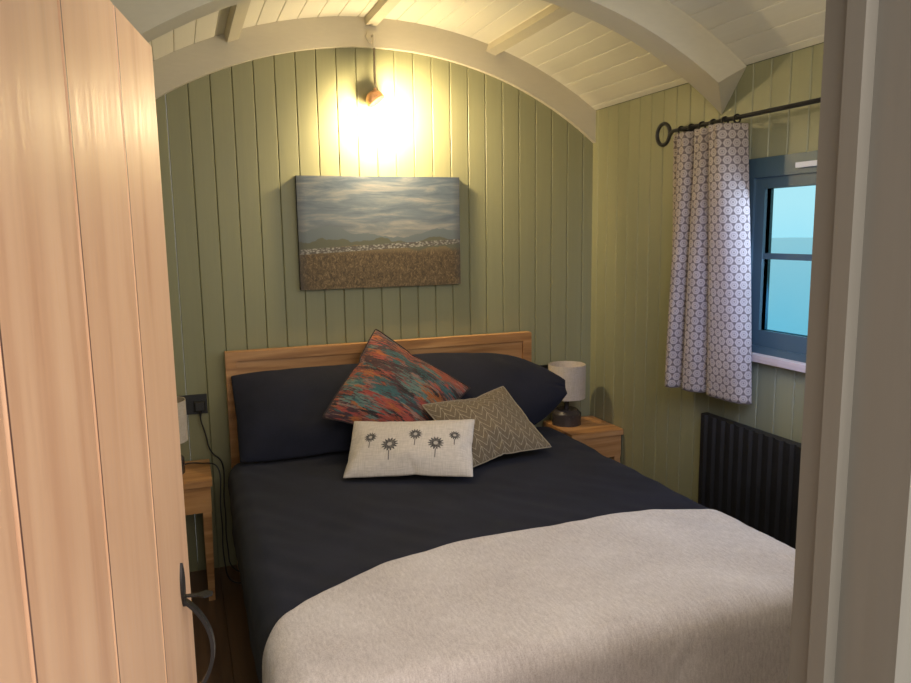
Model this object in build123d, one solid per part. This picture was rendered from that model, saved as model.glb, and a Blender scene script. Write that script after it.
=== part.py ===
from build123d import *
import math
import os

os.makedirs("parts", exist_ok=True)

# The sleeping end of a shepherd's hut: the last bay of the hut, with its boarded
# arched end wall, its bowed roof, the partition with the bedroom door, and the bed.
# Millimetres. X runs across the hut, +Y towards the end wall, +Z up.
# The origin is under the middle of the bay, on the ground.
# Distances "along" are measured from the end wall's boards towards the partition,
# and heights from the floor boards.

# Room, between board faces
ROOM_HALF_WIDTH = 1114.0
ROOM_LENGTH = 2812.0
LINING = 18.0
WALL_CORE = 82.0
SEAT = 0.3

# Floor
BEARER_DEPTH = 120.0
BEARER_WIDTH = 100.0
BEARER_INSET = 330.0
CASSETTE = 100.0
FLOOR_BOARD = 20.0
FLOOR_Z = BEARER_DEPTH + CASSETTE + FLOOR_BOARD

# Roof, all arcs about one axis along the hut
CEILING_EDGE = 2086.6
CEILING_RADIUS = 1937.0
CEILING_BOARD = 12.0
ROOF_CORE = 45.0
ROOF_SHEET = 16.0
EAVES_OVERHANG = 50.0
GABLE_OVERHANG = 60.0

# Bows and purlins under the ceiling
BOW_DEPTH = 125.0
END_BOW_WIDTH = 25.0
BOW_WIDTH = 127.0
BOW_STARTS = [956.0, 1976.0]
BOW_SPLAY = 126.0
PURLIN_WIDTH = 50.0
PURLIN_DEPTH = 36.0
PURLIN_OFFSETS = [-634.0, -32.0, 554.0]

# Partition and door frame
PARTITION = 94.0
JAMB_WIDTH = 28.0
JAMB_DEPTH = 120.0
STOP_WIDTH = 20.0
STOP_PROUD = 14.0
DOOR_GAP = 5.0

# Door
DOOR_WIDTH = 762.0
DOOR_TOP = 1795.0
DOOR_FOOT = 8.0
DOOR_BOARD = 32.0
DOOR_BOARD_WIDTH = 221.5
DOOR_GROOVE = 4.0
DOOR_OPEN_ANGLE = 79.8
LEDGE_THICKNESS = 22.0
LEDGE_HEIGHT = 110.0
LEDGE_END = 60.0
LEDGE_CENTRES = [270.0, 1010.0, 1560.0]
HINGE_CENTRES = [270.0, 1560.0]
HINGE_HEIGHT = 90.0
HINGE_PLATE = 2.5
HINGE_BARREL_RADIUS = 6.0
HINGE_PIN_RADIUS = 3.0
HINGE_RUNNING = 0.3
HINGE_REACH = 40.0

# Thumb latch
LATCH_FROM_EDGE = 70.0
LATCH_TOP = 966.0
LATCH_PLATE = 4.0
LATCH_LEAF_WIDTH = 26.0
LATCH_LEAF_HEIGHT = 66.0
HANDLE_LENGTH = 175.0
HANDLE_PROUD = 46.0
HANDLE_WIDTH = 12.0
HANDLE_THICKNESS = 6.0
THUMB_REACH = 48.0
THUMB_WIDTH = 24.0
THUMB_NECK = 8.0
THUMB_THICKNESS = 3.0
LATCH_BAR_HEIGHT = 18.0
LATCH_BAR_THICKNESS = 5.0
LATCH_BAR_GAP = 6.0
LATCH_BAR_TAIL = 70.0
LATCH_BAR_PAST_EDGE = 22.0
LATCH_PIVOT = 34.0
STAPLE_THICKNESS = 4.0
STAPLE_WIDTH = 12.0
STAPLE_PLAY = 12.0
KEEPER_WIDTH = 14.0
KEEPER_HEIGHT = 50.0
KEEPER_PROUD = 16.0

# Window
WINDOW_CENTRE = 1517.0
WINDOW_WIDTH = 834.0
WINDOW_FOOT = 1035.0
WINDOW_TOP = 1734.0
FRAME_DEPTH = 70.0
FRAME_FACE = 57.0
FRAME_FOOT = 26.0
MULLION = 46.0
ARCHITRAVE = 13.0
ARCHITRAVE_PROUD = 10.0
CASEMENT_DEPTH = 44.0
CASEMENT_STILE = 45.0
CASEMENT_RAIL = 40.0
CASEMENT_FOOT = 60.0
GLAZING_BAR = 22.0
GLAZING_BAR_HEIGHT = 1394.0
GLASS = 20.0
SILL_THICKNESS = 26.0
SILL_PROUD = 45.0
SILL_HORN = 25.0
VENT_LENGTH = 312.0
VENT_HEIGHT = 18.0
VENT_PROUD = 12.0

# Curtain pole and curtains
POLE_FROM_WALL = 89.0
POLE_ABOVE_WINDOW = 157.0
POLE_RADIUS = 8.0
POLE_SIDES = 8
BRACKET_ARM_RADIUS = 5.6
POLE_HALF_LENGTH = 732.0
CROOK_RADIUS = 43.0
CROOK_DROP = 49.0
CROOK_RUN = 75.0
CROOK_TURN = 285.0
BRACKET_FROM_END = 20.0
BRACKET_ROSE = 22.0
BRACKET_ROSE_THICKNESS = 5.0
RING_RADIUS = 15.0
RING_WIRE = 2.5
RING_SIDES = 16
RINGS_PER_CURTAIN = 6
CURTAIN_FOOT = 850.0
CURTAIN_HEAD_WIDTH = 382.0
CURTAIN_FOOT_WIDTH = 440.0
CURTAIN_THICKNESS = 70.0
CURTAIN_END = 795.0

# Radiator
RADIATOR_TOP = 757.0
RADIATOR_FOOT = 150.0
RADIATOR_LENGTH = 1090.0
RADIATOR_DEPTH = 42.0
RADIATOR_FROM_WALL = 30.0
RADIATOR_RIBS = 22
RADIATOR_RIB_DEPTH = 10.0
RADIATOR_BRACKET = 40.0

# Wall light
LIGHT_OFFSET = -30.0
LIGHT_FROM_WALL = 62.0
LIGHT_HEIGHT = 2132.0
LIGHT_STEM_RADIUS = 5.0
LIGHT_ROSE_RADIUS = 26.0
LIGHT_ROSE = 10.0
LIGHT_ROSE_UP = 42.0
LIGHT_HEAD_RADIUS = 42.0
LIGHT_HEAD_RIM = 10.0
LIGHT_KNUCKLE = 9.0
LIGHT_TURN_ASIDE = 32.0
LIGHT_TURN_OUT = 14.0

# Picture
PICTURE_WIDTH = 762.0
PICTURE_HEIGHT = 502.0
PICTURE_DEPTH = 36.0
PICTURE_FOOT = 1250.0
PICTURE_OFFSET = -9.0

# Sockets
SOCKET_WIDTH = 146.0
SOCKET_HEIGHT = 86.0
SOCKET_PROUD = 9.0
SOCKET_FROM_WALL = 225.0
SOCKET_CENTRE = 768.0

# Bed
BED_HALF_WIDTH = 733.0
HEADBOARD_TOP = 997.0
HEADBOARD_THICKNESS = 45.0
HEADBOARD_GAP = 27.0
HEADBOARD_STILE = 46.0
HEADBOARD_RAIL = 42.0
HEADBOARD_PANEL = 18.0
HEADBOARD_FOOT_RAIL = 300.0
MATTRESS_HALF_WIDTH = 675.0
MATTRESS_LENGTH = 1900.0
MATTRESS_THICKNESS = 210.0
RAIL_TOP = 320.0
RAIL_HEIGHT = 120.0
RAIL_THICKNESS = 26.0
SLAT_THICKNESS = 20.0
LEG_SIZE = 60.0
DUVET_START = 240.0
DUVET_THICKNESS = 45.0
DUVET_SIDE = 50.0
DUVET_DROP = 250.0
THROW_THICKNESS = 8.0
THROW_START = 1480.0
THROW_DROP = 330.0
DUVET_FOOT = 10.0

# Pillows and scatter cushions. A lean tips the top towards the end wall, a turn is
# about the upright axis and a roll is in the cushion's own plane, in degrees.
PILLOW_WIDTH = 740.0
PILLOW_HEIGHT = 450.0
PILLOW_THICKNESS = 140.0
PILLOW_LEAN = 42.0
PILLOW_LEFT_OFFSET = -336.0
PILLOW_RIGHT_OFFSET = 428.0
PILLOW_RIGHT_TURN = -10.0
PILLOW_RIGHT_SLUMP = 4.0
PATTERNED_SIDE = 480.0
PATTERNED_THICKNESS = 100.0
PATTERNED_OFFSET = -48.0
PATTERNED_TURN = 2.0
PATTERNED_LEAN = 42.0
PATTERNED_ROLL = 41.0
LEAF_WIDTH = 420.0
LEAF_HEIGHT = 380.0
LEAF_THICKNESS = 100.0
LEAF_OFFSET = 265.0
LEAF_TURN = 4.0
LEAF_LEAN = 58.0
LEAF_ROLL = -7.0
LUMBAR_WIDTH = 500.0
LUMBAR_HEIGHT = 300.0
LUMBAR_THICKNESS = 90.0
LUMBAR_OFFSET = -95.0
LUMBAR_TURN = -26.0
LUMBAR_LEAN = 57.0
LUMBAR_ROLL = -2.0
CUSHION_RUN_IN = 1600.0
SEATING_STEPS = 12
# A cushion's section: the outline's share of its full size at each share of its depth
CUSHION_SECTION = [(-0.5, 0.5), (-0.38, 0.78), (-0.16, 0.96), (0, 1), (0.16, 0.96), (0.38, 0.78), (0.5, 0.5)]
CUSHION_CORNER = 0.1

# Bedside tables and lamps
TABLE_WIDTH = 290.0
TABLE_DEPTH = 300.0
TABLE_BACK = 26.0
TABLE_TOP = 522.0
TABLE_TOP_THICKNESS = 28.0
TABLE_OVERHANG = 8.0
TABLE_SCRIBE = 2.0
TABLE_LEG = 35.0
TABLE_LEG_FOOT = 26.0
TABLE_APRON = 110.0
LAMP_LEFT_FROM_WALL = 116.0
LAMP_LEFT_ALONG = 170.0
LAMP_RIGHT_FROM_WALL = 208.0
LAMP_RIGHT_ALONG = 122.0
LAMP_BASE_RADIUS = 74.0
LAMP_BASE_HEIGHT = 80.0
LAMP_BASE_SLOPE = 20.0
LAMP_NECK_RADIUS = 12.0
LAMP_NECK_IN_SHADE = 40.0
SHADE_RADIUS = 94.0
SHADE_FOOT = 660.0
SHADE_TOP = 830.0
SHADE_WALL = 3.0
SHADE_ARM = 6.0

# Left lamp's lead: points in X, distance along and height, from the strain relief's
# tip at the lamp's foot, over the table's edge, to the tip of the plug's neck
CORD_DIAMETER = 6.0
CORD_SIDES = 8
CORD_BEND = 0.45
RELIEF_ROOT_RADIUS = 5.5
RELIEF_TIP_RADIUS = 3.6
PLUG_WIDTH = 46.0
PLUG_HEIGHT = 44.0
PLUG_DEPTH = 24.0
PLUG_BEVEL = 5.0
PLUG_NECK = 23.0
PLUG_NECK_RADIUS = 7.0
CORD_ROUTE = [
    (-929.3, 103.1, 531),
    (-911.4, 85.7, 531),
    (-884, 80, 527),
    (-853, 98, 526),
    (-829, 122, 532.5),
    (-797, 147, 528),
    (-784, 160, 484),
    (-789, 170, 420),
    (-795, 178, 340),
    (-790, 183, 258),
    (-796, 186, 176),
    (-791, 190, 100),
    (-786, 194, 44),
    (-763, 199, 10),
    (-722, 208, 3.4),
    (-676, 220, 3.4),
    (-634, 210, 3.4),
    (-612, 172, 3.4),
    (-618, 128, 3.4),
    (-655, 101, 3.4),
    (-702, 98, 3.4),
    (-742, 84, 8),
    (-768, 58, 36),
    (-768, 34, 90),
    (-774, 25, 168),
    (-768, 22, 250),
    (-773, 23, 332),
    (-766, 21, 412),
    (-764, 20, 472),
    (-777, 19, 516),
    (-806, 18, 537),
    (-823, 19, 573),
    (-829, 20, 620),
    (-839, 21, 664),
    (-848, 21, 692),
    (-848, 21, 716),
]

# Derived places
WALL = LINING + WALL_CORE
OUTER_HALF_WIDTH = ROOM_HALF_WIDTH + WALL
FRONT = ROOM_LENGTH + JAMB_DEPTH
BACK = WALL + GABLE_OVERHANG
END_FACE_Y = (FRONT - BACK) / 2
ARC_HEIGHT = CEILING_EDGE - math.sqrt(CEILING_RADIUS**2 - ROOM_HALF_WIDTH**2)
CORE_RADIUS = CEILING_RADIUS + CEILING_BOARD
SHEET_RADIUS = CORE_RADIUS + ROOF_CORE
SOFFIT_RADIUS = CEILING_RADIUS - BOW_DEPTH
POLE_HEIGHT = WINDOW_TOP + POLE_ABOVE_WINDOW
RING_SAG = RING_RADIUS - RING_WIRE - POLE_RADIUS - SEAT
CURTAIN_TOP = POLE_HEIGHT - RING_SAG - RING_RADIUS - RING_WIRE - SEAT
HINGE_X = -ROOM_HALF_WIDTH + JAMB_WIDTH + DOOR_GAP / 2
HINGE_ALONG = ROOM_LENGTH - HINGE_BARREL_RADIUS
LATCH_JAMB_X = HINGE_X + DOOR_GAP / 2 + DOOR_WIDTH + DOOR_GAP
MATTRESS_TOP = RAIL_TOP + MATTRESS_THICKNESS
HEADBOARD_FACE = HEADBOARD_GAP + HEADBOARD_THICKNESS
BED_FOOT = HEADBOARD_FACE + MATTRESS_LENGTH


def y_at(along):
    return END_FACE_Y - along


def block(x0, x1, along0, along1, z0, z1):
    """A box between two X, two distances along the hut and two heights over the floor."""
    centre = ((x0 + x1) / 2, y_at((along0 + along1) / 2), FLOOR_Z + (z0 + z1) / 2)
    return Pos(*centre) * Box(abs(x1 - x0), abs(along1 - along0), abs(z1 - z0))


def arc_z(radius, x):
    """The height over the floor of one of the roof's arcs."""
    return ARC_HEIGHT + math.sqrt(radius**2 - x**2)


def roof_arc(radius, x0, x1):
    middle = (x0 + x1) / 2
    return ThreePointArc((x0, arc_z(radius, x0)), (middle, arc_z(radius, middle)), (x1, arc_z(radius, x1)))


def across(edges, along0, along1):
    """Extrudes an outline, drawn in X and height over the floor, along the hut."""
    plane = Plane(origin=(0, y_at(along0), FLOOR_Z), x_dir=(1, 0, 0), z_dir=(0, -1, 0))
    return extrude(plane * make_face(edges), along1 - along0, dir=(0, -1, 0))


def arch(inner, outer, half_width, along0, along1):
    """A strip between two of the roof's arcs, cut off upright at both sides."""
    low = roof_arc(inner, -half_width, half_width)
    high = roof_arc(outer, half_width, -half_width)
    sides = [Line(low @ 1, high @ 0), Line(high @ 1, low @ 0)]
    return across([low.edge(), sides[0].edge(), high.edge(), sides[1].edge()], along0, along1)


def under_roof(x0, x1, along0, along1, z0, radius):
    """A wall slab whose top follows one of the roof's arcs."""
    low = min(x0, x1)
    high = max(x0, x1)
    top = roof_arc(radius, low, high)
    rest = Polyline(top @ 1, (high, z0), (low, z0), top @ 0)
    return across([top.edge(), *rest.edges()], along0, along1)


def turned(points):
    """A piece turned about the Z axis from its profile of radii and heights."""
    return revolve(Plane.XZ * make_face(Polyline(*points, close=True).edges()), Axis.Z)


def save(shape, name):
    export_step(shape, f"parts/{name}.step")


def joined(pieces):
    return Compound(children=list(pieces))


def floor():
    bearers = []
    for side in (-1, 1):
        x = side * (OUTER_HALF_WIDTH - BEARER_INSET)
        foot = -FLOOR_Z
        bearers.append(block(x - BEARER_WIDTH / 2, x + BEARER_WIDTH / 2, -WALL, FRONT, foot, foot + BEARER_DEPTH))
    save(joined(bearers), "floor_bearers")
    save(block(-OUTER_HALF_WIDTH, OUTER_HALF_WIDTH, -WALL, FRONT, -FLOOR_BOARD - CASSETTE, -FLOOR_BOARD), "floor_cassette")
    save(block(-OUTER_HALF_WIDTH, OUTER_HALF_WIDTH, -WALL, FRONT, -FLOOR_BOARD, 0), "floor_boards")


def window_hole(x0, x1):
    """The hole for the window frame and its sill."""
    half = WINDOW_WIDTH / 2
    return block(x0, x1, WINDOW_CENTRE - half, WINDOW_CENTRE + half, WINDOW_FOOT - SILL_THICKNESS, WINDOW_TOP)


def walls():
    inner = ROOM_HALF_WIDTH
    lined = inner + LINING
    outer = OUTER_HALF_WIDTH
    save(under_roof(-outer, outer, -WALL, -LINING, 0, CORE_RADIUS - SEAT), "end_wall")
    save(under_roof(-lined, lined, -LINING, 0, 0, CORE_RADIUS - SEAT), "end_wall_lining")
    hole = window_hole(inner - 1, outer + 1)
    for side, name in ((-1, "left_wall"), (1, "right_wall")):
        core = under_roof(side * lined, side * outer, -LINING, FRONT, 0, CORE_RADIUS - SEAT)
        boards = under_roof(side * inner, side * lined, 0, FRONT, 0, CORE_RADIUS - SEAT)
        if side > 0:
            core -= hole
            boards -= hole
        save(core, name)
        save(boards, name + "_lining")


def bow(start):
    """A heavy bow whose near corners are splayed off where it dies into the side walls."""
    shape = arch(SOFFIT_RADIUS, CEILING_RADIUS - SEAT, ROOM_HALF_WIDTH, start, start + BOW_WIDTH)
    near = y_at(start + BOW_WIDTH)
    far = y_at(start)
    inset = ROOM_HALF_WIDTH - BOW_SPLAY
    for side in (-1, 1):
        top = Vector(side * ROOM_HALF_WIDTH, near, FLOOR_Z + arc_z(CEILING_RADIUS, ROOM_HALF_WIDTH))
        soffit = Vector(side * inset, near, FLOOR_Z + arc_z(SOFFIT_RADIUS, inset))
        wall = Vector(side * ROOM_HALF_WIDTH, far, FLOOR_Z + arc_z(SOFFIT_RADIUS, ROOM_HALF_WIDTH))
        normal = (soffit - top).cross(wall - top).normalized()
        if normal.Z < 0:
            normal = normal * -1
        shape = split(shape, bisect_by=Plane(top, z_dir=normal), keep=Keep.TOP)
    return shape


def roof():
    save(arch(CEILING_RADIUS, CORE_RADIUS, ROOM_HALF_WIDTH, 0, FRONT), "ceiling_boards")
    save(arch(CORE_RADIUS + SEAT, SHEET_RADIUS, OUTER_HALF_WIDTH, -WALL, FRONT), "roof_core")
    sheet_half = OUTER_HALF_WIDTH + EAVES_OVERHANG
    sheet = arch(SHEET_RADIUS + SEAT, SHEET_RADIUS + SEAT + ROOF_SHEET, sheet_half, -BACK, FRONT)
    save(sheet, "roof_sheet")
    save(arch(SOFFIT_RADIUS, CEILING_RADIUS - SEAT, ROOM_HALF_WIDTH, 0, END_BOW_WIDTH), "end_bow")
    save(joined(bow(start) for start in BOW_STARTS), "roof_bows")
    edges = [END_BOW_WIDTH]
    for start in BOW_STARTS:
        edges += [start, start + BOW_WIDTH]
    edges.append(ROOM_LENGTH + (JAMB_DEPTH - PARTITION) / 2)
    purlins = []
    top = CEILING_RADIUS - 2 * SEAT
    for offset in PURLIN_OFFSETS:
        lean = math.degrees(math.asin(offset / CEILING_RADIUS))
        for begin, end in zip(edges[0::2], edges[1::2]):
            middle = Pos(0, y_at((begin + end) / 2), FLOOR_Z + ARC_HEIGHT) * Rot(0, lean, 0)
            batten = Box(PURLIN_WIDTH, end - begin, PURLIN_DEPTH)
            purlins.append(middle * Pos(0, 0, top - PURLIN_DEPTH / 2) * batten)
    save(joined(purlins), "purlins")


def partition():
    near = ROOM_LENGTH + (JAMB_DEPTH - PARTITION) / 2
    right = LATCH_JAMB_X + JAMB_WIDTH
    head = DOOR_TOP + DOOR_GAP + JAMB_WIDTH
    top = CEILING_RADIUS - SEAT
    save(under_roof(right, ROOM_HALF_WIDTH, near, near + PARTITION, 0, top), "partition_right")
    save(under_roof(-ROOM_HALF_WIDTH, right, near, near + PARTITION, head, top), "partition_head")
    stop_at = ROOM_LENGTH + DOOR_BOARD + DOOR_GAP
    stop = (stop_at, stop_at + STOP_WIDTH)
    frame = (ROOM_LENGTH, FRONT)
    left_face = -ROOM_HALF_WIDTH + JAMB_WIDTH
    jamb_top = DOOR_TOP + DOOR_GAP
    left = block(-ROOM_HALF_WIDTH, left_face, *frame, 0, jamb_top)
    left += block(left_face, left_face + STOP_PROUD, *stop, 0, jamb_top)
    save(left, "door_jamb_left")
    latch = block(LATCH_JAMB_X, right, *frame, 0, jamb_top)
    latch += block(LATCH_JAMB_X - STOP_PROUD, LATCH_JAMB_X, *stop, 0, jamb_top)
    save(latch, "door_jamb_right")
    lintel = block(-ROOM_HALF_WIDTH, right, *frame, jamb_top, head)
    lintel_stop = block(
        left_face + STOP_PROUD, LATCH_JAMB_X - STOP_PROUD, *stop, jamb_top - STOP_PROUD, jamb_top
    )
    save(lintel + lintel_stop, "door_head")
    bar_foot = latch_bar_height() - LATCH_BAR_HEIGHT / 2
    middle = LATCH_JAMB_X + JAMB_WIDTH / 2
    keeper = block(
        middle - KEEPER_WIDTH / 2,
        middle + KEEPER_WIDTH / 2,
        ROOM_LENGTH - KEEPER_PROUD,
        ROOM_LENGTH,
        bar_foot - LATCH_BAR_GAP - KEEPER_HEIGHT,
        bar_foot - LATCH_BAR_GAP,
    )
    save(keeper, "latch_keeper")


def latch_bar_height():
    """The middle of the latch bar, which the thumb piece lifts from its keeper."""
    return LATCH_TOP - LATCH_LEAF_HEIGHT


def swung(shape):
    """Turns a piece of the closed door about the hinge to where the door stands open."""
    axis = Axis((HINGE_X, y_at(HINGE_ALONG), 0), (0, 0, 1))
    return shape.rotate(axis, DOOR_OPEN_ANGLE)


def barrel(z0, z1, radius):
    place = Pos(HINGE_X, y_at(HINGE_ALONG), FLOOR_Z + (z0 + z1) / 2)
    return place * Cylinder(radius, z1 - z0)


def door():
    hinge_edge = HINGE_X + DOOR_GAP / 2
    free_edge = hinge_edge + DOOR_WIDTH
    room_face = ROOM_LENGTH
    leaf = block(hinge_edge, free_edge, room_face, room_face + DOOR_BOARD, DOOR_FOOT, DOOR_TOP)
    groove = Rot(0, 0, 45) * Box(DOOR_GROOVE * math.sqrt(2), DOOR_GROOVE * math.sqrt(2), 2 * DOOR_TOP)
    for i in range(1, math.ceil(DOOR_WIDTH / DOOR_BOARD_WIDTH)):
        for face in (room_face, room_face + DOOR_BOARD):
            leaf -= Pos(free_edge - i * DOOR_BOARD_WIDTH, y_at(face), FLOOR_Z + DOOR_TOP / 2) * groove
    save(swung(leaf), "door_boards")
    ledges = []
    for centre in LEDGE_CENTRES:
        ledge = block(
            hinge_edge + LEDGE_END,
            free_edge - LEDGE_END,
            room_face - LEDGE_THICKNESS,
            room_face,
            centre - LEDGE_HEIGHT / 2,
            centre + LEDGE_HEIGHT / 2,
        )
        ledges.append(swung(ledge))
    save(joined(ledges), "door_ledges")

    third = HINGE_HEIGHT / 3
    fixed = []
    moving = []
    for centre in HINGE_CENTRES:
        foot = centre - HINGE_HEIGHT / 2
        head = centre + HINGE_HEIGHT / 2
        pin = barrel(foot, head, HINGE_PIN_RADIUS)
        knuckles = barrel(foot, foot + third - HINGE_RUNNING, HINGE_BARREL_RADIUS)
        knuckles += barrel(head - third + HINGE_RUNNING, head, HINGE_BARREL_RADIUS)
        plate = block(-ROOM_HALF_WIDTH, HINGE_X, room_face - HINGE_PLATE, room_face, foot, head)
        clear = barrel(foot + third - HINGE_RUNNING, head - third + HINGE_RUNNING, HINGE_BARREL_RADIUS + DOOR_GAP / 4)
        fixed.append(plate - clear + knuckles + pin)
        middle = barrel(foot + third, head - third, HINGE_BARREL_RADIUS)
        strap = block(
            HINGE_X, hinge_edge + HINGE_REACH, room_face - HINGE_PLATE, room_face, foot + third, head - third
        )
        middle += strap
        middle -= barrel(foot, head, HINGE_PIN_RADIUS + HINGE_RUNNING)
        moving.append(swung(middle))
    save(joined(fixed), "door_hinge_pins")
    save(joined(moving), "door_hinge_leaves")

    save(joined(swung(piece) for piece in latch(free_edge, room_face)), "door_latch")


def leaf_plate(x, face, tip, root):
    """A pointed leaf of iron on the door's outer face, from its tip to its root."""
    middle = (tip + root) / 2
    half = LATCH_LEAF_WIDTH / 2
    sides = [
        ThreePointArc((x, tip), (x - half, middle), (x, root)),
        ThreePointArc((x, root), (x + half, middle), (x, tip)),
    ]
    return across([side.edge() for side in sides], face, face + LATCH_PLATE)


def latch(free_edge, room_face):
    """The thumb latch: leaf plates, bowed handle and thumb piece outside, bar and staple inside."""
    x = free_edge - LATCH_FROM_EDGE
    face = room_face + DOOR_BOARD
    grip_top = LATCH_TOP - LATCH_LEAF_HEIGHT
    grip_foot = grip_top - HANDLE_LENGTH
    start = (face + LATCH_PLATE / 2, grip_top)
    middle = (face + HANDLE_PROUD - HANDLE_THICKNESS / 2, (grip_top + grip_foot) / 2)
    end = (face + LATCH_PLATE / 2, grip_foot)
    path = ThreePointArc(*[(x, y_at(a), FLOOR_Z + z) for a, z in (start, middle, end)])
    section = Plane(origin=path @ 0, x_dir=(1, 0, 0), z_dir=path % 0) * Rectangle(HANDLE_WIDTH, HANDLE_THICKNESS)
    bow_width = HANDLE_WIDTH / 2 + 1
    outside = block(x - bow_width, x + bow_width, face, face + 2 * HANDLE_PROUD, 0, DOOR_TOP)
    handle = sweep(section, path=path) & outside
    overlap = LATCH_LEAF_HEIGHT / 6
    handle += leaf_plate(x, face, LATCH_TOP, grip_top - overlap)
    handle += leaf_plate(x, face, grip_foot + overlap, grip_foot - LATCH_LEAF_HEIGHT)
    waist = (THUMB_NECK / 2, face + THUMB_REACH / 2)
    outline = Polyline(
        (-waist[0], -face),
        (-waist[0], -waist[1]),
        (-THUMB_WIDTH / 2, -(face + THUMB_REACH * 0.75)),
        (-THUMB_WIDTH / 4, -(face + THUMB_REACH)),
        (THUMB_WIDTH / 4, -(face + THUMB_REACH)),
        (THUMB_WIDTH / 2, -(face + THUMB_REACH * 0.75)),
        (waist[0], -waist[1]),
        (waist[0], -face),
        close=True,
    )
    thumb_foot = FLOOR_Z + grip_top + HANDLE_THICKNESS
    thumb = extrude(make_face(outline), THUMB_THICKNESS)
    handle += Pos(x, y_at(0), thumb_foot) * thumb

    height = latch_bar_height()
    bar_back = room_face - LATCH_BAR_GAP
    bar_front = bar_back - LATCH_BAR_THICKNESS
    half = LATCH_BAR_HEIGHT / 2
    tail = x - LATCH_BAR_TAIL
    bar = block(tail, free_edge + LATCH_BAR_PAST_EDGE, bar_front, bar_back, height - half, height + half)
    bar += block(
        tail, tail + LATCH_PIVOT, bar_back, room_face, height - LATCH_PIVOT / 2, height + LATCH_PIVOT / 2
    )
    right = free_edge - STAPLE_WIDTH
    left = right - STAPLE_WIDTH
    reach = bar_front - SEAT
    staple = block(
        left,
        right,
        reach - STAPLE_THICKNESS,
        room_face,
        height - half - STAPLE_PLAY - STAPLE_THICKNESS,
        height + half + SEAT + STAPLE_THICKNESS,
    )
    staple -= block(left, right, reach, room_face, height - half - STAPLE_PLAY, height + half + SEAT)
    return [handle, bar, staple]


def window():
    half = WINDOW_WIDTH / 2
    x0 = ROOM_HALF_WIDTH
    frame = block(x0, x0 + FRAME_DEPTH, WINDOW_CENTRE - half, WINDOW_CENTRE + half, WINDOW_FOOT, WINDOW_TOP)
    trim = block(
        x0 - ARCHITRAVE_PROUD,
        x0,
        WINDOW_CENTRE - half - ARCHITRAVE,
        WINDOW_CENTRE + half + ARCHITRAVE,
        WINDOW_FOOT,
        WINDOW_TOP + ARCHITRAVE,
    )
    frame += trim
    light_top = WINDOW_TOP - FRAME_FACE
    light_foot = WINDOW_FOOT + FRAME_FOOT
    glass = []
    casements = []
    for side in (-1, 1):
        near = WINDOW_CENTRE + side * MULLION / 2
        far = WINDOW_CENTRE + side * (half - FRAME_FACE)
        low, high = min(near, far), max(near, far)
        frame -= block(x0 - 20, x0 + FRAME_DEPTH + 1, low, high, light_foot, light_top)
        sash = block(x0, x0 + CASEMENT_DEPTH, low, high, light_foot, light_top)
        daylight = (low + CASEMENT_STILE, high - CASEMENT_STILE)
        pane = (light_foot + CASEMENT_FOOT, light_top - CASEMENT_RAIL)
        sash -= block(x0 - 1, x0 + CASEMENT_DEPTH + 1, *daylight, *pane)
        middle = x0 + CASEMENT_DEPTH / 2
        bar_low = GLAZING_BAR_HEIGHT - GLAZING_BAR / 2
        bar_high = GLAZING_BAR_HEIGHT + GLAZING_BAR / 2
        sash += block(x0 + 4, middle - GLASS / 2, *daylight, bar_low, bar_high)
        casements.append(sash)
        glass.append(block(middle - GLASS / 2, middle + GLASS / 2, *daylight, *pane))
    save(frame, "window_frame")
    save(joined(casements), "window_casements")
    save(joined(glass), "window_glass")
    sill = block(
        x0 - SILL_PROUD,
        x0 + FRAME_DEPTH,
        WINDOW_CENTRE - half,
        WINDOW_CENTRE + half,
        WINDOW_FOOT - SILL_THICKNESS,
        WINDOW_FOOT,
    )
    sill += block(
        x0 - SILL_PROUD,
        x0,
        WINDOW_CENTRE - half - SILL_HORN,
        WINDOW_CENTRE + half + SILL_HORN,
        WINDOW_FOOT - SILL_THICKNESS,
        WINDOW_FOOT,
    )
    save(sill, "window_sill")
    vent_foot = light_top + (FRAME_FACE - VENT_HEIGHT) / 2
    face = x0 - ARCHITRAVE_PROUD
    vent = block(
        face - VENT_PROUD,
        face,
        WINDOW_CENTRE - VENT_LENGTH / 2,
        WINDOW_CENTRE + VENT_LENGTH / 2,
        vent_foot,
        vent_foot + VENT_HEIGHT,
    )
    save(vent, "trickle_vent")


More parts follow.
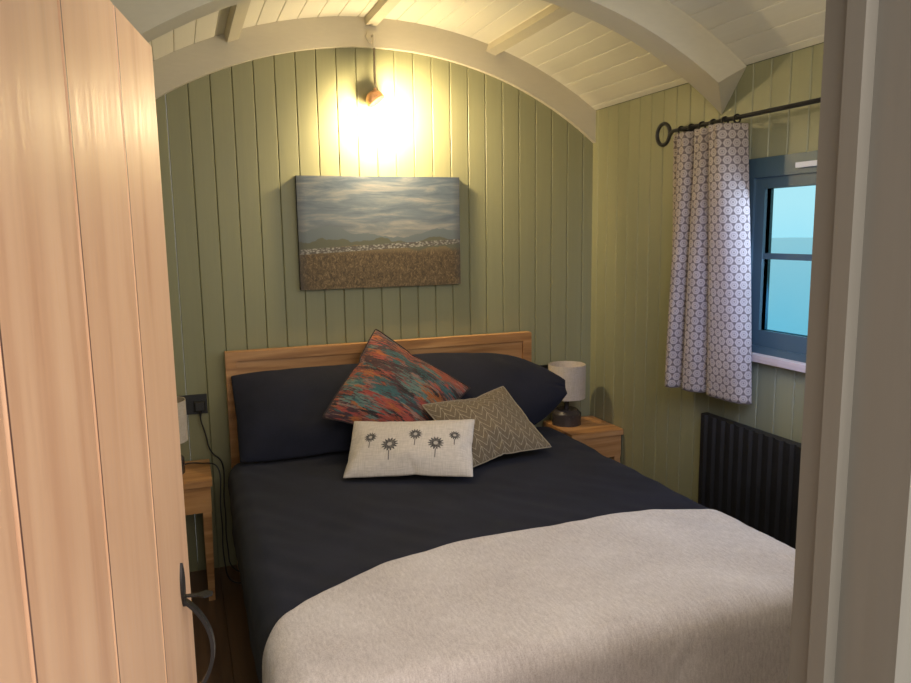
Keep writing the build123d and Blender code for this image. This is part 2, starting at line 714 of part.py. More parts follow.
def curtain_fittings():
    x = ROOM_HALF_WIDTH - POLE_FROM_WALL
    z = FLOOR_Z + POLE_HEIGHT
    centre_y = y_at(WINDOW_CENTRE)
    plane = Plane(origin=(x, centre_y, z), x_dir=(0, 1, 0), z_dir=(1, 0, 0))
    bend = (CROOK_RUN / 2) ** 2 + (CROOK_DROP / 2) ** 2
    bend_radius = bend / CROOK_DROP
    bend_angle = math.degrees(math.asin(CROOK_RUN / 2 / bend_radius))
    pole = None
    for side in (-1, 1):
        end = POLE_HALF_LENGTH
        straight = Line((0, 0), (end, 0))
        down = CenterArc((end, -bend_radius), bend_radius, 90, -bend_angle)
        back = CenterArc(
            (end + CROOK_RUN, -CROOK_DROP + bend_radius), bend_radius, 270 - bend_angle, bend_angle
        )
        curl = CenterArc((end + CROOK_RUN, -CROOK_DROP + CROOK_RADIUS), CROOK_RADIUS, 270, CROOK_TURN)
        wire = Wire([straight.edge(), down.edge(), back.edge(), curl.edge()])
        section = Plane((0, 0, 0), z_dir=(1, 0, 0)) * RegularPolygon(POLE_RADIUS, POLE_SIDES)
        bar = sweep(section, path=wire)
        located = plane.location * bar if side > 0 else plane.location * mirror(bar, about=Plane.YZ)
        pole = located if pole is None else pole + located
    for side in (-1, 1):
        along = WINDOW_CENTRE + side * (POLE_HALF_LENGTH - BRACKET_FROM_END)
        place = Pos(ROOM_HALF_WIDTH, y_at(along), z) * Rot(0, -90, 0)
        arm = place * Pos(0, 0, POLE_FROM_WALL / 2) * Cylinder(BRACKET_ARM_RADIUS, POLE_FROM_WALL)
        rose = place * Pos(0, 0, BRACKET_ROSE_THICKNESS / 2) * Cylinder(BRACKET_ROSE, BRACKET_ROSE_THICKNESS)
        pole += arm + rose
    save(pole, "curtain_pole")

    rings = []
    outer_ring = RegularPolygon(RING_RADIUS + RING_WIRE, RING_SIDES)
    washer = outer_ring - RegularPolygon(RING_RADIUS - RING_WIRE, RING_SIDES)
    ring = Pos(0, 0, -RING_WIRE) * extrude(washer, 2 * RING_WIRE)
    curtains = {}
    for side, name in ((-1, "curtain_rear"), (1, "curtain_front")):
        edge = WINDOW_CENTRE + side * (WINDOW_CENTRE - CURTAIN_END)
        head = edge - side * CURTAIN_HEAD_WIDTH
        foot = edge - side * CURTAIN_FOOT_WIDTH
        step = CURTAIN_HEAD_WIDTH / RINGS_PER_CURTAIN
        for i in range(RINGS_PER_CURTAIN):
            along = edge - side * step * (i + 0.5)
            rings.append(Pos(x, y_at(along), z - RING_SAG) * Rot(90, 0, 0) * ring)
        outline = Polyline(
            (y_at(edge), FLOOR_Z + CURTAIN_FOOT),
            (y_at(edge), FLOOR_Z + CURTAIN_TOP),
            (y_at(head), FLOOR_Z + CURTAIN_TOP),
            (y_at(foot), FLOOR_Z + CURTAIN_FOOT),
            close=True,
        )
        face = Plane.YZ.offset(x - CURTAIN_THICKNESS / 2) * make_face(outline)
        curtains[name] = extrude(face, CURTAIN_THICKNESS)
    save(joined(rings), "curtain_rings")
    for name, shape in curtains.items():
        save(shape, name)


def radiator():
    back = ROOM_HALF_WIDTH - RADIATOR_FROM_WALL
    front = back - RADIATOR_DEPTH
    begin = WINDOW_CENTRE - RADIATOR_LENGTH / 2
    end = WINDOW_CENTRE + RADIATOR_LENGTH / 2
    pitch = RADIATOR_LENGTH / RADIATOR_RIBS
    valley = front + RADIATOR_RIB_DEPTH
    outline = [(back, y_at(begin)), (valley, y_at(begin))]
    for i in range(RADIATOR_RIBS):
        at = begin + pitch * (i + 0.5)
        outline += [
            (valley, y_at(at - pitch * 0.4)),
            (front, y_at(at - pitch * 0.2)),
            (front, y_at(at + pitch * 0.2)),
            (valley, y_at(at + pitch * 0.4)),
        ]
    outline += [(valley, y_at(end)), (back, y_at(end))]
    panel = make_face(Polyline(*outline, close=True))
    body = Pos(0, 0, FLOOR_Z + RADIATOR_FOOT) * extrude(panel, RADIATOR_TOP - RADIATOR_FOOT, dir=(0, 0, 1))
    for at in (begin + RADIATOR_LENGTH / 5, end - RADIATOR_LENGTH / 5):
        for z in (RADIATOR_FOOT + RADIATOR_BRACKET, RADIATOR_TOP - 2 * RADIATOR_BRACKET):
            half = RADIATOR_BRACKET / 2
            body += block(back - 1, ROOM_HALF_WIDTH, at - half, at + half, z, z + RADIATOR_BRACKET)
    save(body, "radiator")


def wall_light():
    y = y_at(LIGHT_FROM_WALL)
    rose_y = y_at(END_BOW_WIDTH)
    rose_z = FLOOR_Z + ARC_HEIGHT + SOFFIT_RADIUS + LIGHT_ROSE_UP
    rose = Pos(LIGHT_OFFSET, rose_y - LIGHT_ROSE / 2, rose_z) * Rot(90, 0, 0)
    arm_length = LIGHT_FROM_WALL - END_BOW_WIDTH
    fitting = rose * Cylinder(LIGHT_ROSE_RADIUS, LIGHT_ROSE)
    arm = Pos(LIGHT_OFFSET, rose_y - arm_length / 2, rose_z) * Rot(90, 0, 0)
    fitting += arm * Cylinder(LIGHT_STEM_RADIUS, arm_length)
    length = rose_z - FLOOR_Z - LIGHT_HEIGHT
    fitting += Pos(LIGHT_OFFSET, y, rose_z - length / 2) * Cylinder(LIGHT_STEM_RADIUS, length)
    fitting += Pos(LIGHT_OFFSET, y, rose_z) * Sphere(LIGHT_STEM_RADIUS)
    save(fitting, "wall_light_stem")
    radius = LIGHT_HEAD_RADIUS
    rim = Polyline((0, radius), (0, -LIGHT_HEAD_RIM), (radius, -LIGHT_HEAD_RIM), (radius, 0))
    crown = CenterArc((0, 0), radius, 0, 90)
    profile = make_face([*rim.edges(), crown.edge()])
    dome = Rot(0, -LIGHT_TURN_ASIDE, 0) * Rot(-LIGHT_TURN_OUT, 0, 0) * revolve(Plane.XZ * profile, Axis.Z)
    place = Pos(LIGHT_OFFSET, y, FLOOR_Z + LIGHT_HEIGHT - LIGHT_KNUCKLE)
    knuckle = place * Cylinder(LIGHT_STEM_RADIUS + 2, 2 * LIGHT_KNUCKLE)
    head = place * Pos(0, 0, -radius) * dome + knuckle
    stem = Pos(LIGHT_OFFSET, y, rose_z - length / 2) * Cylinder(LIGHT_STEM_RADIUS + SEAT, length + 2 * SEAT)
    save(head - stem, "wall_light_head")


def fixtures():
    picture = block(
        PICTURE_OFFSET - PICTURE_WIDTH / 2,
        PICTURE_OFFSET + PICTURE_WIDTH / 2,
        0,
        PICTURE_DEPTH,
        PICTURE_FOOT,
        PICTURE_FOOT + PICTURE_HEIGHT,
    )
    save(picture, "picture_canvas")
    plates = []
    for side in (-1, 1):
        x = side * (ROOM_HALF_WIDTH - SOCKET_FROM_WALL)
        low = SOCKET_CENTRE - SOCKET_HEIGHT / 2
        plates.append(
            block(x - SOCKET_WIDTH / 2, x + SOCKET_WIDTH / 2, 0, SOCKET_PROUD, low, low + SOCKET_HEIGHT)
        )
    save(joined(plates), "wall_sockets")


def bed():
    half = BED_HALF_WIDTH
    head_back = HEADBOARD_GAP
    head = block(-half, half, head_back, HEADBOARD_FACE, 0, HEADBOARD_TOP)
    recess = (HEADBOARD_THICKNESS - HEADBOARD_PANEL) / 2
    opening = (-half + HEADBOARD_STILE, half - HEADBOARD_STILE)
    panel = (HEADBOARD_FOOT_RAIL, HEADBOARD_TOP - HEADBOARD_RAIL)
    head -= block(*opening, HEADBOARD_FACE - recess, HEADBOARD_FACE + 1, *panel)
    head -= block(*opening, head_back - 1, head_back + recess, *panel)
    head -= block(*opening, head_back - 1, HEADBOARD_FACE + 1, -1, RAIL_TOP - RAIL_HEIGHT)
    save(head, "headboard")
    rail_foot = RAIL_TOP - RAIL_HEIGHT
    outer = MATTRESS_HALF_WIDTH + RAIL_THICKNESS
    foot_end = BED_FOOT + RAIL_THICKNESS
    frame = block(-outer, -MATTRESS_HALF_WIDTH, HEADBOARD_FACE, foot_end, rail_foot, RAIL_TOP)
    frame += block(MATTRESS_HALF_WIDTH, outer, HEADBOARD_FACE, foot_end, rail_foot, RAIL_TOP)
    frame += block(-outer, outer, BED_FOOT, foot_end, rail_foot, RAIL_TOP)
    slat_top = RAIL_TOP - SLAT_THICKNESS
    frame += block(-outer, outer, HEADBOARD_FACE, BED_FOOT, slat_top - SLAT_THICKNESS, slat_top)
    for side in (-1, 1):
        x = side * (outer - LEG_SIZE / 2)
        frame += block(
            x - LEG_SIZE / 2, x + LEG_SIZE / 2, foot_end - LEG_SIZE, foot_end, 0, rail_foot + 1
        )
    save(frame, "bed_frame")
    mattress = block(
        -MATTRESS_HALF_WIDTH + 2, MATTRESS_HALF_WIDTH - 2, HEADBOARD_FACE + 2, BED_FOOT - 2, slat_top, MATTRESS_TOP
    )
    save(mattress, "mattress")
    return head


def bedding():
    inner = MATTRESS_HALF_WIDTH + RAIL_THICKNESS
    top = MATTRESS_TOP + SEAT
    foot = BED_FOOT + RAIL_THICKNESS + SEAT
    outer = inner + DUVET_SIDE
    duvet = block(-outer, outer, DUVET_START, foot + DUVET_FOOT, top - DUVET_DROP, top + DUVET_THICKNESS)
    duvet -= block(-inner - SEAT, inner + SEAT, DUVET_START - 1, foot, top - DUVET_DROP - 1, top)
    duvet = fillet(duvet.edges().filter_by(Axis.Y).group_by(Axis.Z)[-1], DUVET_THICKNESS * 0.8)
    save(duvet, "duvet")
    cover_top = top + DUVET_THICKNESS + SEAT
    grown = outer + SEAT
    end = foot + DUVET_FOOT + SEAT
    throw = block(
        -grown - THROW_THICKNESS,
        grown + THROW_THICKNESS,
        THROW_START,
        end + THROW_THICKNESS,
        cover_top - THROW_DROP,
        cover_top + THROW_THICKNESS,
    )
    throw -= block(-grown, grown, THROW_START - 1, end, cover_top - THROW_DROP - 1, cover_top)
    save(throw, "throw")
    return FLOOR_Z + top + DUVET_THICKNESS


def cushion(width, height, thickness):
    """A plump cushion in the XZ plane, where its outline, its plan and its side view meet."""
    x = width / 2
    z = height / 2
    cut = min(x, z) * 2 * CUSHION_CORNER
    outline = [(x - cut, -z), (x, cut - z), (x, z - cut), (x - cut, z)]
    outline += [(-a, -b) for a, b in outline]
    plan = [(x * share, thickness * depth) for depth, share in CUSHION_SECTION]
    plan += [(-a, b) for a, b in reversed(plan)]
    side = [(thickness * depth, z * share) for depth, share in CUSHION_SECTION]
    side += [(a, -b) for a, b in reversed(side)]
    shape = None
    for points, plane, half in ((outline, Plane.XZ, thickness / 2), (plan, Plane.XY, z), (side, Plane.YZ, x)):
        prism = extrude(plane * make_face(Polyline(*points, close=True)), half, both=True)
        shape = prism if shape is None else shape & prism
    return shape


def seated(shape, x, turn, lean, roll, rest, against):
    """Leans a cushion back, stands it at a height and slides it towards the end wall until it rests."""
    shape = Rot(0, 0, turn) * Rot(-lean, 0, 0) * Rot(0, roll, 0) * shape
    low = shape.bounding_box().min.Z
    shape = Pos(x, y_at(CUSHION_RUN_IN), rest + SEAT - low) * shape
    for _ in range(SEATING_STEPS):
        clear = min(shape.distance_to(other) for other in against) - SEAT
        shape = Pos(0, max(clear, 0), 0) * shape
    return shape


def cushions(headboard, rest):
    pillow = cushion(PILLOW_WIDTH, PILLOW_HEIGHT, PILLOW_THICKNESS)
    left = seated(pillow, PILLOW_LEFT_OFFSET, 0, PILLOW_LEAN, 0, rest, [headboard])
    right = seated(
        pillow, PILLOW_RIGHT_OFFSET, PILLOW_RIGHT_TURN, PILLOW_LEAN, PILLOW_RIGHT_SLUMP, rest, [headboard, left]
    )
    save(joined([left, right]), "pillows")
    patterned = cushion(PATTERNED_SIDE, PATTERNED_SIDE, PATTERNED_THICKNESS)
    patterned = seated(
        patterned, PATTERNED_OFFSET, PATTERNED_TURN, PATTERNED_LEAN, PATTERNED_ROLL, rest, [left, right]
    )
    save(patterned, "cushion_patterned")
    leaf = cushion(LEAF_WIDTH, LEAF_HEIGHT, LEAF_THICKNESS)
    leaf = seated(leaf, LEAF_OFFSET, LEAF_TURN, LEAF_LEAN, LEAF_ROLL, rest, [left, right, patterned])
    save(leaf, "cushion_leaf")
    lumbar = cushion(LUMBAR_WIDTH, LUMBAR_HEIGHT, LUMBAR_THICKNESS)
    lumbar = seated(lumbar, LUMBAR_OFFSET, LUMBAR_TURN, LUMBAR_LEAN, LUMBAR_ROLL, rest, [patterned, leaf])
    save(lumbar, "cushion_lumbar")


def table_leg(x, along, inward):
    """A square leg that tapers on both sides towards its foot."""
    top = TABLE_TOP - TABLE_TOP_THICKNESS
    shift = (TABLE_LEG - TABLE_LEG_FOOT) / 2
    foot = Pos(x - inward * shift, y_at(along), FLOOR_Z) * Rectangle(TABLE_LEG_FOOT, TABLE_LEG_FOOT)
    head = Pos(x, y_at(along), FLOOR_Z + top) * Rectangle(TABLE_LEG, TABLE_LEG)
    return loft([foot, head])


def bedside():
    tables = []
    bases = []
    shades = []
    neck_top = SHADE_FOOT + LAMP_NECK_IN_SHADE
    lamps = {
        -1: (LAMP_LEFT_FROM_WALL, LAMP_LEFT_ALONG),
        1: (LAMP_RIGHT_FROM_WALL, LAMP_RIGHT_ALONG),
    }
    for side, (from_wall, along) in lamps.items():
        inner = side * (ROOM_HALF_WIDTH - TABLE_WIDTH)
        outer = side * (ROOM_HALF_WIDTH - TABLE_SCRIBE)
        low, high = min(inner, outer), max(inner, outer)
        back = TABLE_BACK
        front = TABLE_BACK + TABLE_DEPTH
        body = block(low, high, back, front, TABLE_TOP - TABLE_TOP_THICKNESS, TABLE_TOP)
        apron_top = TABLE_TOP - TABLE_TOP_THICKNESS
        edge = TABLE_OVERHANG
        body += block(low + edge, high - edge, back + edge, front - edge, apron_top - TABLE_APRON, apron_top)
        inset = edge + TABLE_LEG / 2
        for x, inward in ((low + inset, -1), (high - inset, 1)):
            for at in (back + inset, front - inset):
                body += table_leg(x, at, inward)
        tables.append(body)
        centre = Pos(side * (ROOM_HALF_WIDTH - from_wall), y_at(along), FLOOR_Z)
        base = turned(
            [
                (0, TABLE_TOP),
                (LAMP_BASE_RADIUS, TABLE_TOP),
                (LAMP_BASE_RADIUS, TABLE_TOP + LAMP_BASE_HEIGHT - LAMP_BASE_SLOPE),
                (LAMP_BASE_RADIUS - LAMP_BASE_SLOPE, TABLE_TOP + LAMP_BASE_HEIGHT),
                (LAMP_NECK_RADIUS, TABLE_TOP + LAMP_BASE_HEIGHT),
                (LAMP_NECK_RADIUS, neck_top),
                (0, neck_top),
            ]
        )
        bases.append(centre * base)
        height = SHADE_TOP - SHADE_FOOT
        shade = Pos(0, 0, SHADE_FOOT + height / 2) * (
            Cylinder(SHADE_RADIUS, height) - Cylinder(SHADE_RADIUS - SHADE_WALL, height)
        )
        arm = Box(2 * (SHADE_RADIUS - SHADE_WALL / 2), SHADE_ARM, SHADE_ARM)
        spider = Pos(0, 0, neck_top + SHADE_ARM / 2) * (arm + Rot(0, 0, 90) * arm)
        shades.append(centre * (shade + spider))
    save(joined(tables), "bedside_tables")
    save(joined(bases), "lamp_bases")
    save(joined(shades), "lamp_shades")


def lamp_lead():
    """The cord as straight runs joined by tangent arcs, the strain relief it leaves and its plug."""
    points = [Vector(x, y_at(along), FLOOR_Z + z) for x, along, z in CORD_ROUTE]
    radii = []
    for before, corner, after in zip(points, points[1:], points[2:]):
        run_in = corner - before
        run_out = after - corner
        turn = math.radians(run_in.get_angle(run_out))
        radii.append(CORD_BEND * min(run_in.length, run_out.length) / math.tan(turn / 2))
    path = FilletPolyline(*points, radius=radii)
    outer = CORD_DIAMETER / 2 / math.cos(math.pi / CORD_SIDES)
    section = Plane(origin=path @ 0, z_dir=path % 0) * RegularPolygon(outer, CORD_SIDES)
    cord = sweep(section, path=path)
    print("cord length", round(path.length, 1), "radii", [round(radius) for radius in radii])
    print("cord volume", round(cord.volume, 1), "section by length", round(section.area * path.length, 1))
    save(cord, "lamp_cord")

    lamp = Vector(LAMP_LEFT_FROM_WALL - ROOM_HALF_WIDTH, y_at(LAMP_LEFT_ALONG), points[0].Z)
    length = (points[0] - lamp).length - LAMP_BASE_RADIUS - SEAT
    cone = Pos(0, 0, -length / 2) * Cone(RELIEF_ROOT_RADIUS, RELIEF_TIP_RADIUS, length)
    save(Plane(origin=points[0], z_dir=path % 0) * cone, "lamp_cord_relief")

    x, _, neck_foot = CORD_ROUTE[-1]
    back = SOCKET_PROUD + SEAT
    foot = neck_foot + PLUG_NECK
    plug = block(x - PLUG_WIDTH / 2, x + PLUG_WIDTH / 2, back, back + PLUG_DEPTH, foot, foot + PLUG_HEIGHT)
    plug = chamfer(plug.faces().sort_by(Axis.Y)[0].edges(), PLUG_BEVEL)
    neck = Pos(points[-1]) * Pos(0, 0, PLUG_NECK / 2) * Cone(RELIEF_TIP_RADIUS, PLUG_NECK_RADIUS, PLUG_NECK)
    save(plug + neck, "lamp_plug")


floor()
walls()
roof()
partition()
door()
window()
curtain_fittings()
radiator()
wall_light()
fixtures()
cushions(bed(), bedding())
bedside()
lamp_lead()
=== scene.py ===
import math
import random

import bmesh
import bpy
from mathutils import Matrix, Vector, noise
from mathutils.bvhtree import BVHTree


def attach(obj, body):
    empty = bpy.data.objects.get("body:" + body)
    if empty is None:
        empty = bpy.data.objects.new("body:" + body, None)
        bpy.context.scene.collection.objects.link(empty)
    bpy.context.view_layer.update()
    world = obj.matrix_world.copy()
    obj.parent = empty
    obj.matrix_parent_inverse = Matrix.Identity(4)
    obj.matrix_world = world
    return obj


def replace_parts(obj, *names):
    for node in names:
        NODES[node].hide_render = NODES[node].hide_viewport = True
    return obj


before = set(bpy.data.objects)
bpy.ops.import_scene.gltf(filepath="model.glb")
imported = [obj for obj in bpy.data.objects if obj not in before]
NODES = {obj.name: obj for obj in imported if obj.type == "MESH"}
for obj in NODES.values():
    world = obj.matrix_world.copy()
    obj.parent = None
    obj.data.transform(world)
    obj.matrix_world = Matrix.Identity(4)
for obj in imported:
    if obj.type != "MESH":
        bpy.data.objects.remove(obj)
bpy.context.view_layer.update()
scene = bpy.context.scene

# The room in metres: X from its centre line, "along" from the end wall's boards, heights over the floor boards.
END_Y = 1.386
FLOOR = 0.24
HALF = 1.114
FRONT = 2.932
PITCH = 0.089
CEILING = 1.937  # the ceiling's radius
ARC = 2.0866 - math.sqrt(CEILING**2 - HALF**2)


def P(x, along, z):
    return Vector((x, END_Y - along, FLOOR + z))


def arc_z(radius, x):
    return ARC + math.sqrt(max(radius * radius - x * x, 0))


def turned(*turns):
    """Turns of (degrees, axis), each about the axes that the turns before it give."""
    matrix = Matrix.Identity(4)
    for angle, axis in turns:
        matrix = matrix @ Matrix.Rotation(math.radians(angle), 4, axis)
    return matrix


def clamp(value, low=0, high=1):
    return min(max(value, low), high)


def placed(name, data):
    obj = bpy.data.objects.new(name, data)
    scene.collection.objects.link(obj)
    return obj


def pairs(items):
    return zip(items[:-1], items[1:])


# ---- camera
CAMERA_PLACE = (-0.89237, -1.98495, 1.740)
CAMERA_TURN = (20.2988, 8.46307, -0.84880)  # yaw to the right, pitch down, roll
FOCAL_PIXELS, FRAME_PIXELS, SENSOR = 740, 911, 36


def add_camera():
    yaw, pitch, roll = CAMERA_TURN
    data = bpy.data.cameras.new("camera")
    data.sensor_width = SENSOR
    data.lens = FOCAL_PIXELS / FRAME_PIXELS * SENSOR
    data.clip_start = 0.01
    camera = placed("camera", data)
    camera.matrix_world = Matrix.Translation(CAMERA_PLACE) @ turned((-yaw, "Z"), (90 - pitch, "X"), (roll, "Z"))
    scene.camera = camera


add_camera()


# ---- mesh helpers
def make(name, verts, faces, material=None, smooth=False, body="hut", uvs=None):
    mesh = bpy.data.meshes.new(name)
    mesh.from_pydata([tuple(v) for v in verts], [], faces)
    mesh.update()
    if uvs:
        layer = mesh.uv_layers.new(name="flat")
        for loop in mesh.loops:
            layer.data[loop.index].uv = uvs[loop.vertex_index]
    bm = bmesh.new()
    bm.from_mesh(mesh)
    if not uvs:
        bmesh.ops.recalc_face_normals(bm, faces=bm.faces)
    for face in bm.faces:
        face.smooth = smooth
    bm.to_mesh(mesh)
    bm.free()
    obj = placed(name, mesh)
    if material:
        mesh.materials.append(material)
    if body:
        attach(obj, body)
    return obj


def apply_modifiers(obj):
    bpy.context.view_layer.update()
    graph = bpy.context.evaluated_depsgraph_get()
    mesh = bpy.data.meshes.new_from_object(obj.evaluated_get(graph), preserve_all_data_layers=True, depsgraph=graph)
    obj.modifiers.clear()
    old = obj.data
    obj.data = mesh
    bpy.data.meshes.remove(old)
    return obj


def modified(obj, kind, **settings):
    """Adds a modifier with its settings and applies it."""
    mod = obj.modifiers.new(kind.lower(), kind)
    for key, value in settings.items():
        setattr(mod, key, value)
    return apply_modifiers(obj)


def subdivided(obj):
    return modified(obj, "SUBSURF", levels=1, render_levels=1)


def grid_faces(across, along, start=0):
    """The faces of a grid with this many cells each way."""
    corners = [start + j * (across + 1) + i for j in range(along) for i in range(across)]
    return [[a, a + across + 1, a + across + 2, a + 1] for a in corners]


def prism(polygon, low, high, verts, faces):
    """Adds a closed prism: polygon maps to 3-D by low(p) and high(p)."""
    start = len(verts)
    count = len(polygon)
    verts += [low(p) for p in polygon] + [high(p) for p in polygon]
    faces.append([start + i for i in range(count)])
    faces.append([start + count + i for i in reversed(range(count))])
    for i in range(count):
        j = (i + 1) % count
        faces.append([start + j, start + i, start + count + i, start + count + j])


def board_section(a, b, depth, bevel, cut_a, cut_b, gap=0.0007):
    """A board's section in (along the wall, depth from its face), bevelled where it is cut at a joint."""
    points = [(a + gap, depth), (a + gap, bevel), (a + gap + bevel, 0)] if cut_a else [(a, depth), (a, 0)]
    return points + ([(b - gap - bevel, 0), (b - gap, bevel), (b - gap, depth)] if cut_b else [(b, 0), (b, depth)])


LEAST_BOARD = 0.004


def joints(low, high, offset, pitch):
    """The edges of boards from low to high, with joints every pitch from a line at offset."""
    first = math.ceil((low - offset) / pitch)
    last = math.floor((high - offset) / pitch)
    lines = [offset + pitch * k for k in range(first, last + 1)]
    return [low] + [s for s in lines if low + LEAST_BOARD < s < high - LEAST_BOARD] + [high]


def level(height):
    return lambda s: height


def upright_boards(low, high, offset, kind, place, foot, top, opening=(), verts=(), faces=()):
    """Upright boards on a wall. kind is (pitch, depth, bevel), place(s, d, z) gives a point, top(s) the
    height there, and opening is (s0, s1, z0, z1)."""
    pitch, depth, bevel = kind
    verts, faces, sides = list(verts), list(faces), opening[:2]
    lines = sorted(set(joints(low, high, offset, pitch) + list(sides)))
    for a, b in pairs(lines):
        section = board_section(a, b, depth, bevel, a != low and a not in sides, b != high and b not in sides)
        spans = [(level(foot), top)]
        if opening and opening[0] - 1e-6 <= a and b <= opening[1] + 1e-6:
            spans = [(level(foot), level(opening[2])), (level(opening[3]), top)]
        for start, end in spans:
            prism(section, lambda p: place(*p, start(p[0])), lambda p: place(*p, end(p[0])), verts, faces)
    return verts, faces


# ---- material helpers
class Value:
    """An output in a node tree. Arithmetic on it adds Math nodes."""

    def __init__(self, nodes, socket):
        self.nodes, self.socket = nodes, socket

    def __add__(self, other):
        return self.nodes.math("ADD", self, other)

    def __sub__(self, other):
        return self.nodes.math("SUBTRACT", self, other)

    def __mul__(self, other):
        return self.nodes.math("MULTIPLY", self, other)

    def __truediv__(self, other):
        return self.nodes.math("DIVIDE", self, other)

    def __abs__(self):
        return self.nodes.math("ABSOLUTE", self)


class Nodes:
    """A short way to write the node tree of a material or a world."""

    def __init__(self, name, owners=bpy.data.materials, shader="Principled BSDF"):
        self.owner = owners.new(name)
        self.owner.use_nodes = True
        self.tree = self.owner.node_tree
        self.shader = self.tree.nodes[shader]

    def put(self, socket, value):
        if isinstance(value, Value):
            self.tree.links.new(value.socket, socket)
        elif value is not None:
            socket.default_value = (*value, 1) if socket.type == "RGBA" and len(value) == 3 else value

    def add(self, kind, inputs, output=0, **settings):
        """Adds a node with its inputs, a dict or a list of them, and gives one of its outputs."""
        node = self.tree.nodes.new("ShaderNode" + kind)
        for key, value in settings.items():
            setattr(node, key, value)
        for key, value in inputs.items() if isinstance(inputs, dict) else enumerate(inputs):
            self.put(node.inputs[key], value)
        return Value(self, node.outputs[output])

    def math(self, operation, *values):
        return self.add("Math", values, operation=operation)

    def largest(self, *values):
        first, *rest = values
        for value in rest:
            first = self.math("MAXIMUM", first, value)
        return first

    def offset(self, value):
        """How far a value is from the middle of its cell of 1."""
        return abs(self.math("FRACT", value) - 0.5)

    def mapped(self, vector, scale=(1, 1, 1), rotation=(0, 0, 0), location=(0, 0, 0)):
        inputs = {"Vector": vector, "Scale": scale, "Rotation": rotation, "Location": location}
        return self.add("Mapping", inputs)

    def coords(self, kind="Object", scale=(1, 1, 1), location=(0, 0, 0)):
        return self.mapped(self.add("TexCoord", {}, kind), scale, location=location)

    def parts(self, kind="Object"):
        """The X, Y and Z of a point."""
        node = self.tree.nodes.new("ShaderNodeSeparateXYZ")
        self.put(node.inputs[0], self.coords(kind))
        return [Value(self, output) for output in node.outputs]

    def joined(self, *values):
        return self.add("CombineXYZ", values)

    def shifted(self, vector, *by):
        return self.add("VectorMath", (vector, self.joined(*by)), operation="ADD")

    def noise(self, vector, scale, detail=4, rough=0.55, distortion=0.0):
        inputs = {"Vector": vector, "Scale": scale, "Detail": detail, "Roughness": rough, "Distortion": distortion}
        return self.add("TexNoise", inputs, "Fac")

    def specks(self, scale, detail=3, rough=0.55, stretch=(1, 1, 1), kind="Object"):
        """Noise over the piece's own or its flat cut's coordinates, stretched."""
        return self.noise(self.coords(kind, stretch), scale, detail, rough)

    def threads(self, scale, one, other, kind="UV", detail=3, rough=0.6):
        """Warp and weft."""
        return self.specks(scale, detail, rough, one, kind) + self.specks(scale, detail, rough, other, kind)

    def cells(self, vector, scale, output):
        return self.add("TexVoronoi", {"Vector": vector, "Scale": scale}, output, feature="F1")

    def chance(self, index):
        """A number from 0 to 1 for each whole number."""
        return self.add("TexWhiteNoise", {"W": index}, "Value", noise_dimensions="1D")

    def ramp(self, factor, stops, interpolation="LINEAR"):
        node = self.tree.nodes.new("ShaderNodeValToRGB")
        node.color_ramp.interpolation = interpolation
        elements = node.color_ramp.elements
        while len(elements) < len(stops):
            elements.new(0.5)
        for element, (place, colour) in zip(elements, stops):
            element.position = place
            element.color = (*colour, 1)
        self.put(node.inputs[0], factor)
        return Value(self, node.outputs[0])

    def mix(self, factor, a, b):
        return self.add("Mix", {0: factor, 6: a, 7: b}, 2, data_type="RGBA")

    def remap(self, *values):
        """A value from one range, low and high, brought to another."""
        return self.add("MapRange", values)

    def spread(self, value, low, high):
        """The middle of a noise, brought to a range."""
        return self.remap(value, 0.3, 0.7, low, high)

    def bump(self, height, strength, distance=0.001):
        return self.add("Bump", {"Strength": strength, "Distance": distance, "Height": height})

    def end(self, **values):
        for key, value in values.items():
            self.put(self.shader.inputs[key.replace("_", " ")], value)
        return self.owner

    def finish(self, colour, rough, normal, **values):
        return self.end(Base_Color=colour, Roughness=rough, Normal=normal, **values)


def tinted(colour, share):
    return tuple(min(c * share, 1) for c in colour)


def paint(name, colour, rough=0.5, grain=(1, 1, 0.05), pitch=None, axis=0, tone=0.07, worn=None):
    """Satin paint over planed timber: brush streaks along the grain and a tone for each board."""
    n = Nodes(name)
    streak = n.specks(90, 5, 0.6, grain)
    broad = n.specks(7, 2, 0.5, grain)
    shade = n.spread(streak, -tone * 0.5, tone * 0.5) + n.spread(broad, -tone * 0.6, tone * 0.6)
    if pitch:
        board = n.chance(n.math("FLOOR", n.parts()[axis] / pitch))
        shade += n.remap(board, 0, 1, -tone * 0.7, tone * 0.7)
    out = n.ramp(shade + 0.5, [(0, tinted(colour, 0.5)), (0.5, colour), (1, tinted(colour, 1.5))])
    if worn:
        out = n.mix(n.remap(n.specks(14, 5, 0.7), 0.66, 0.72, 0, 0.6), out, worn)
    return n.finish(out, n.remap(streak, 0.2, 0.8, rough - 0.06, rough + 0.1), n.bump(streak, 0.25, 0.0006))


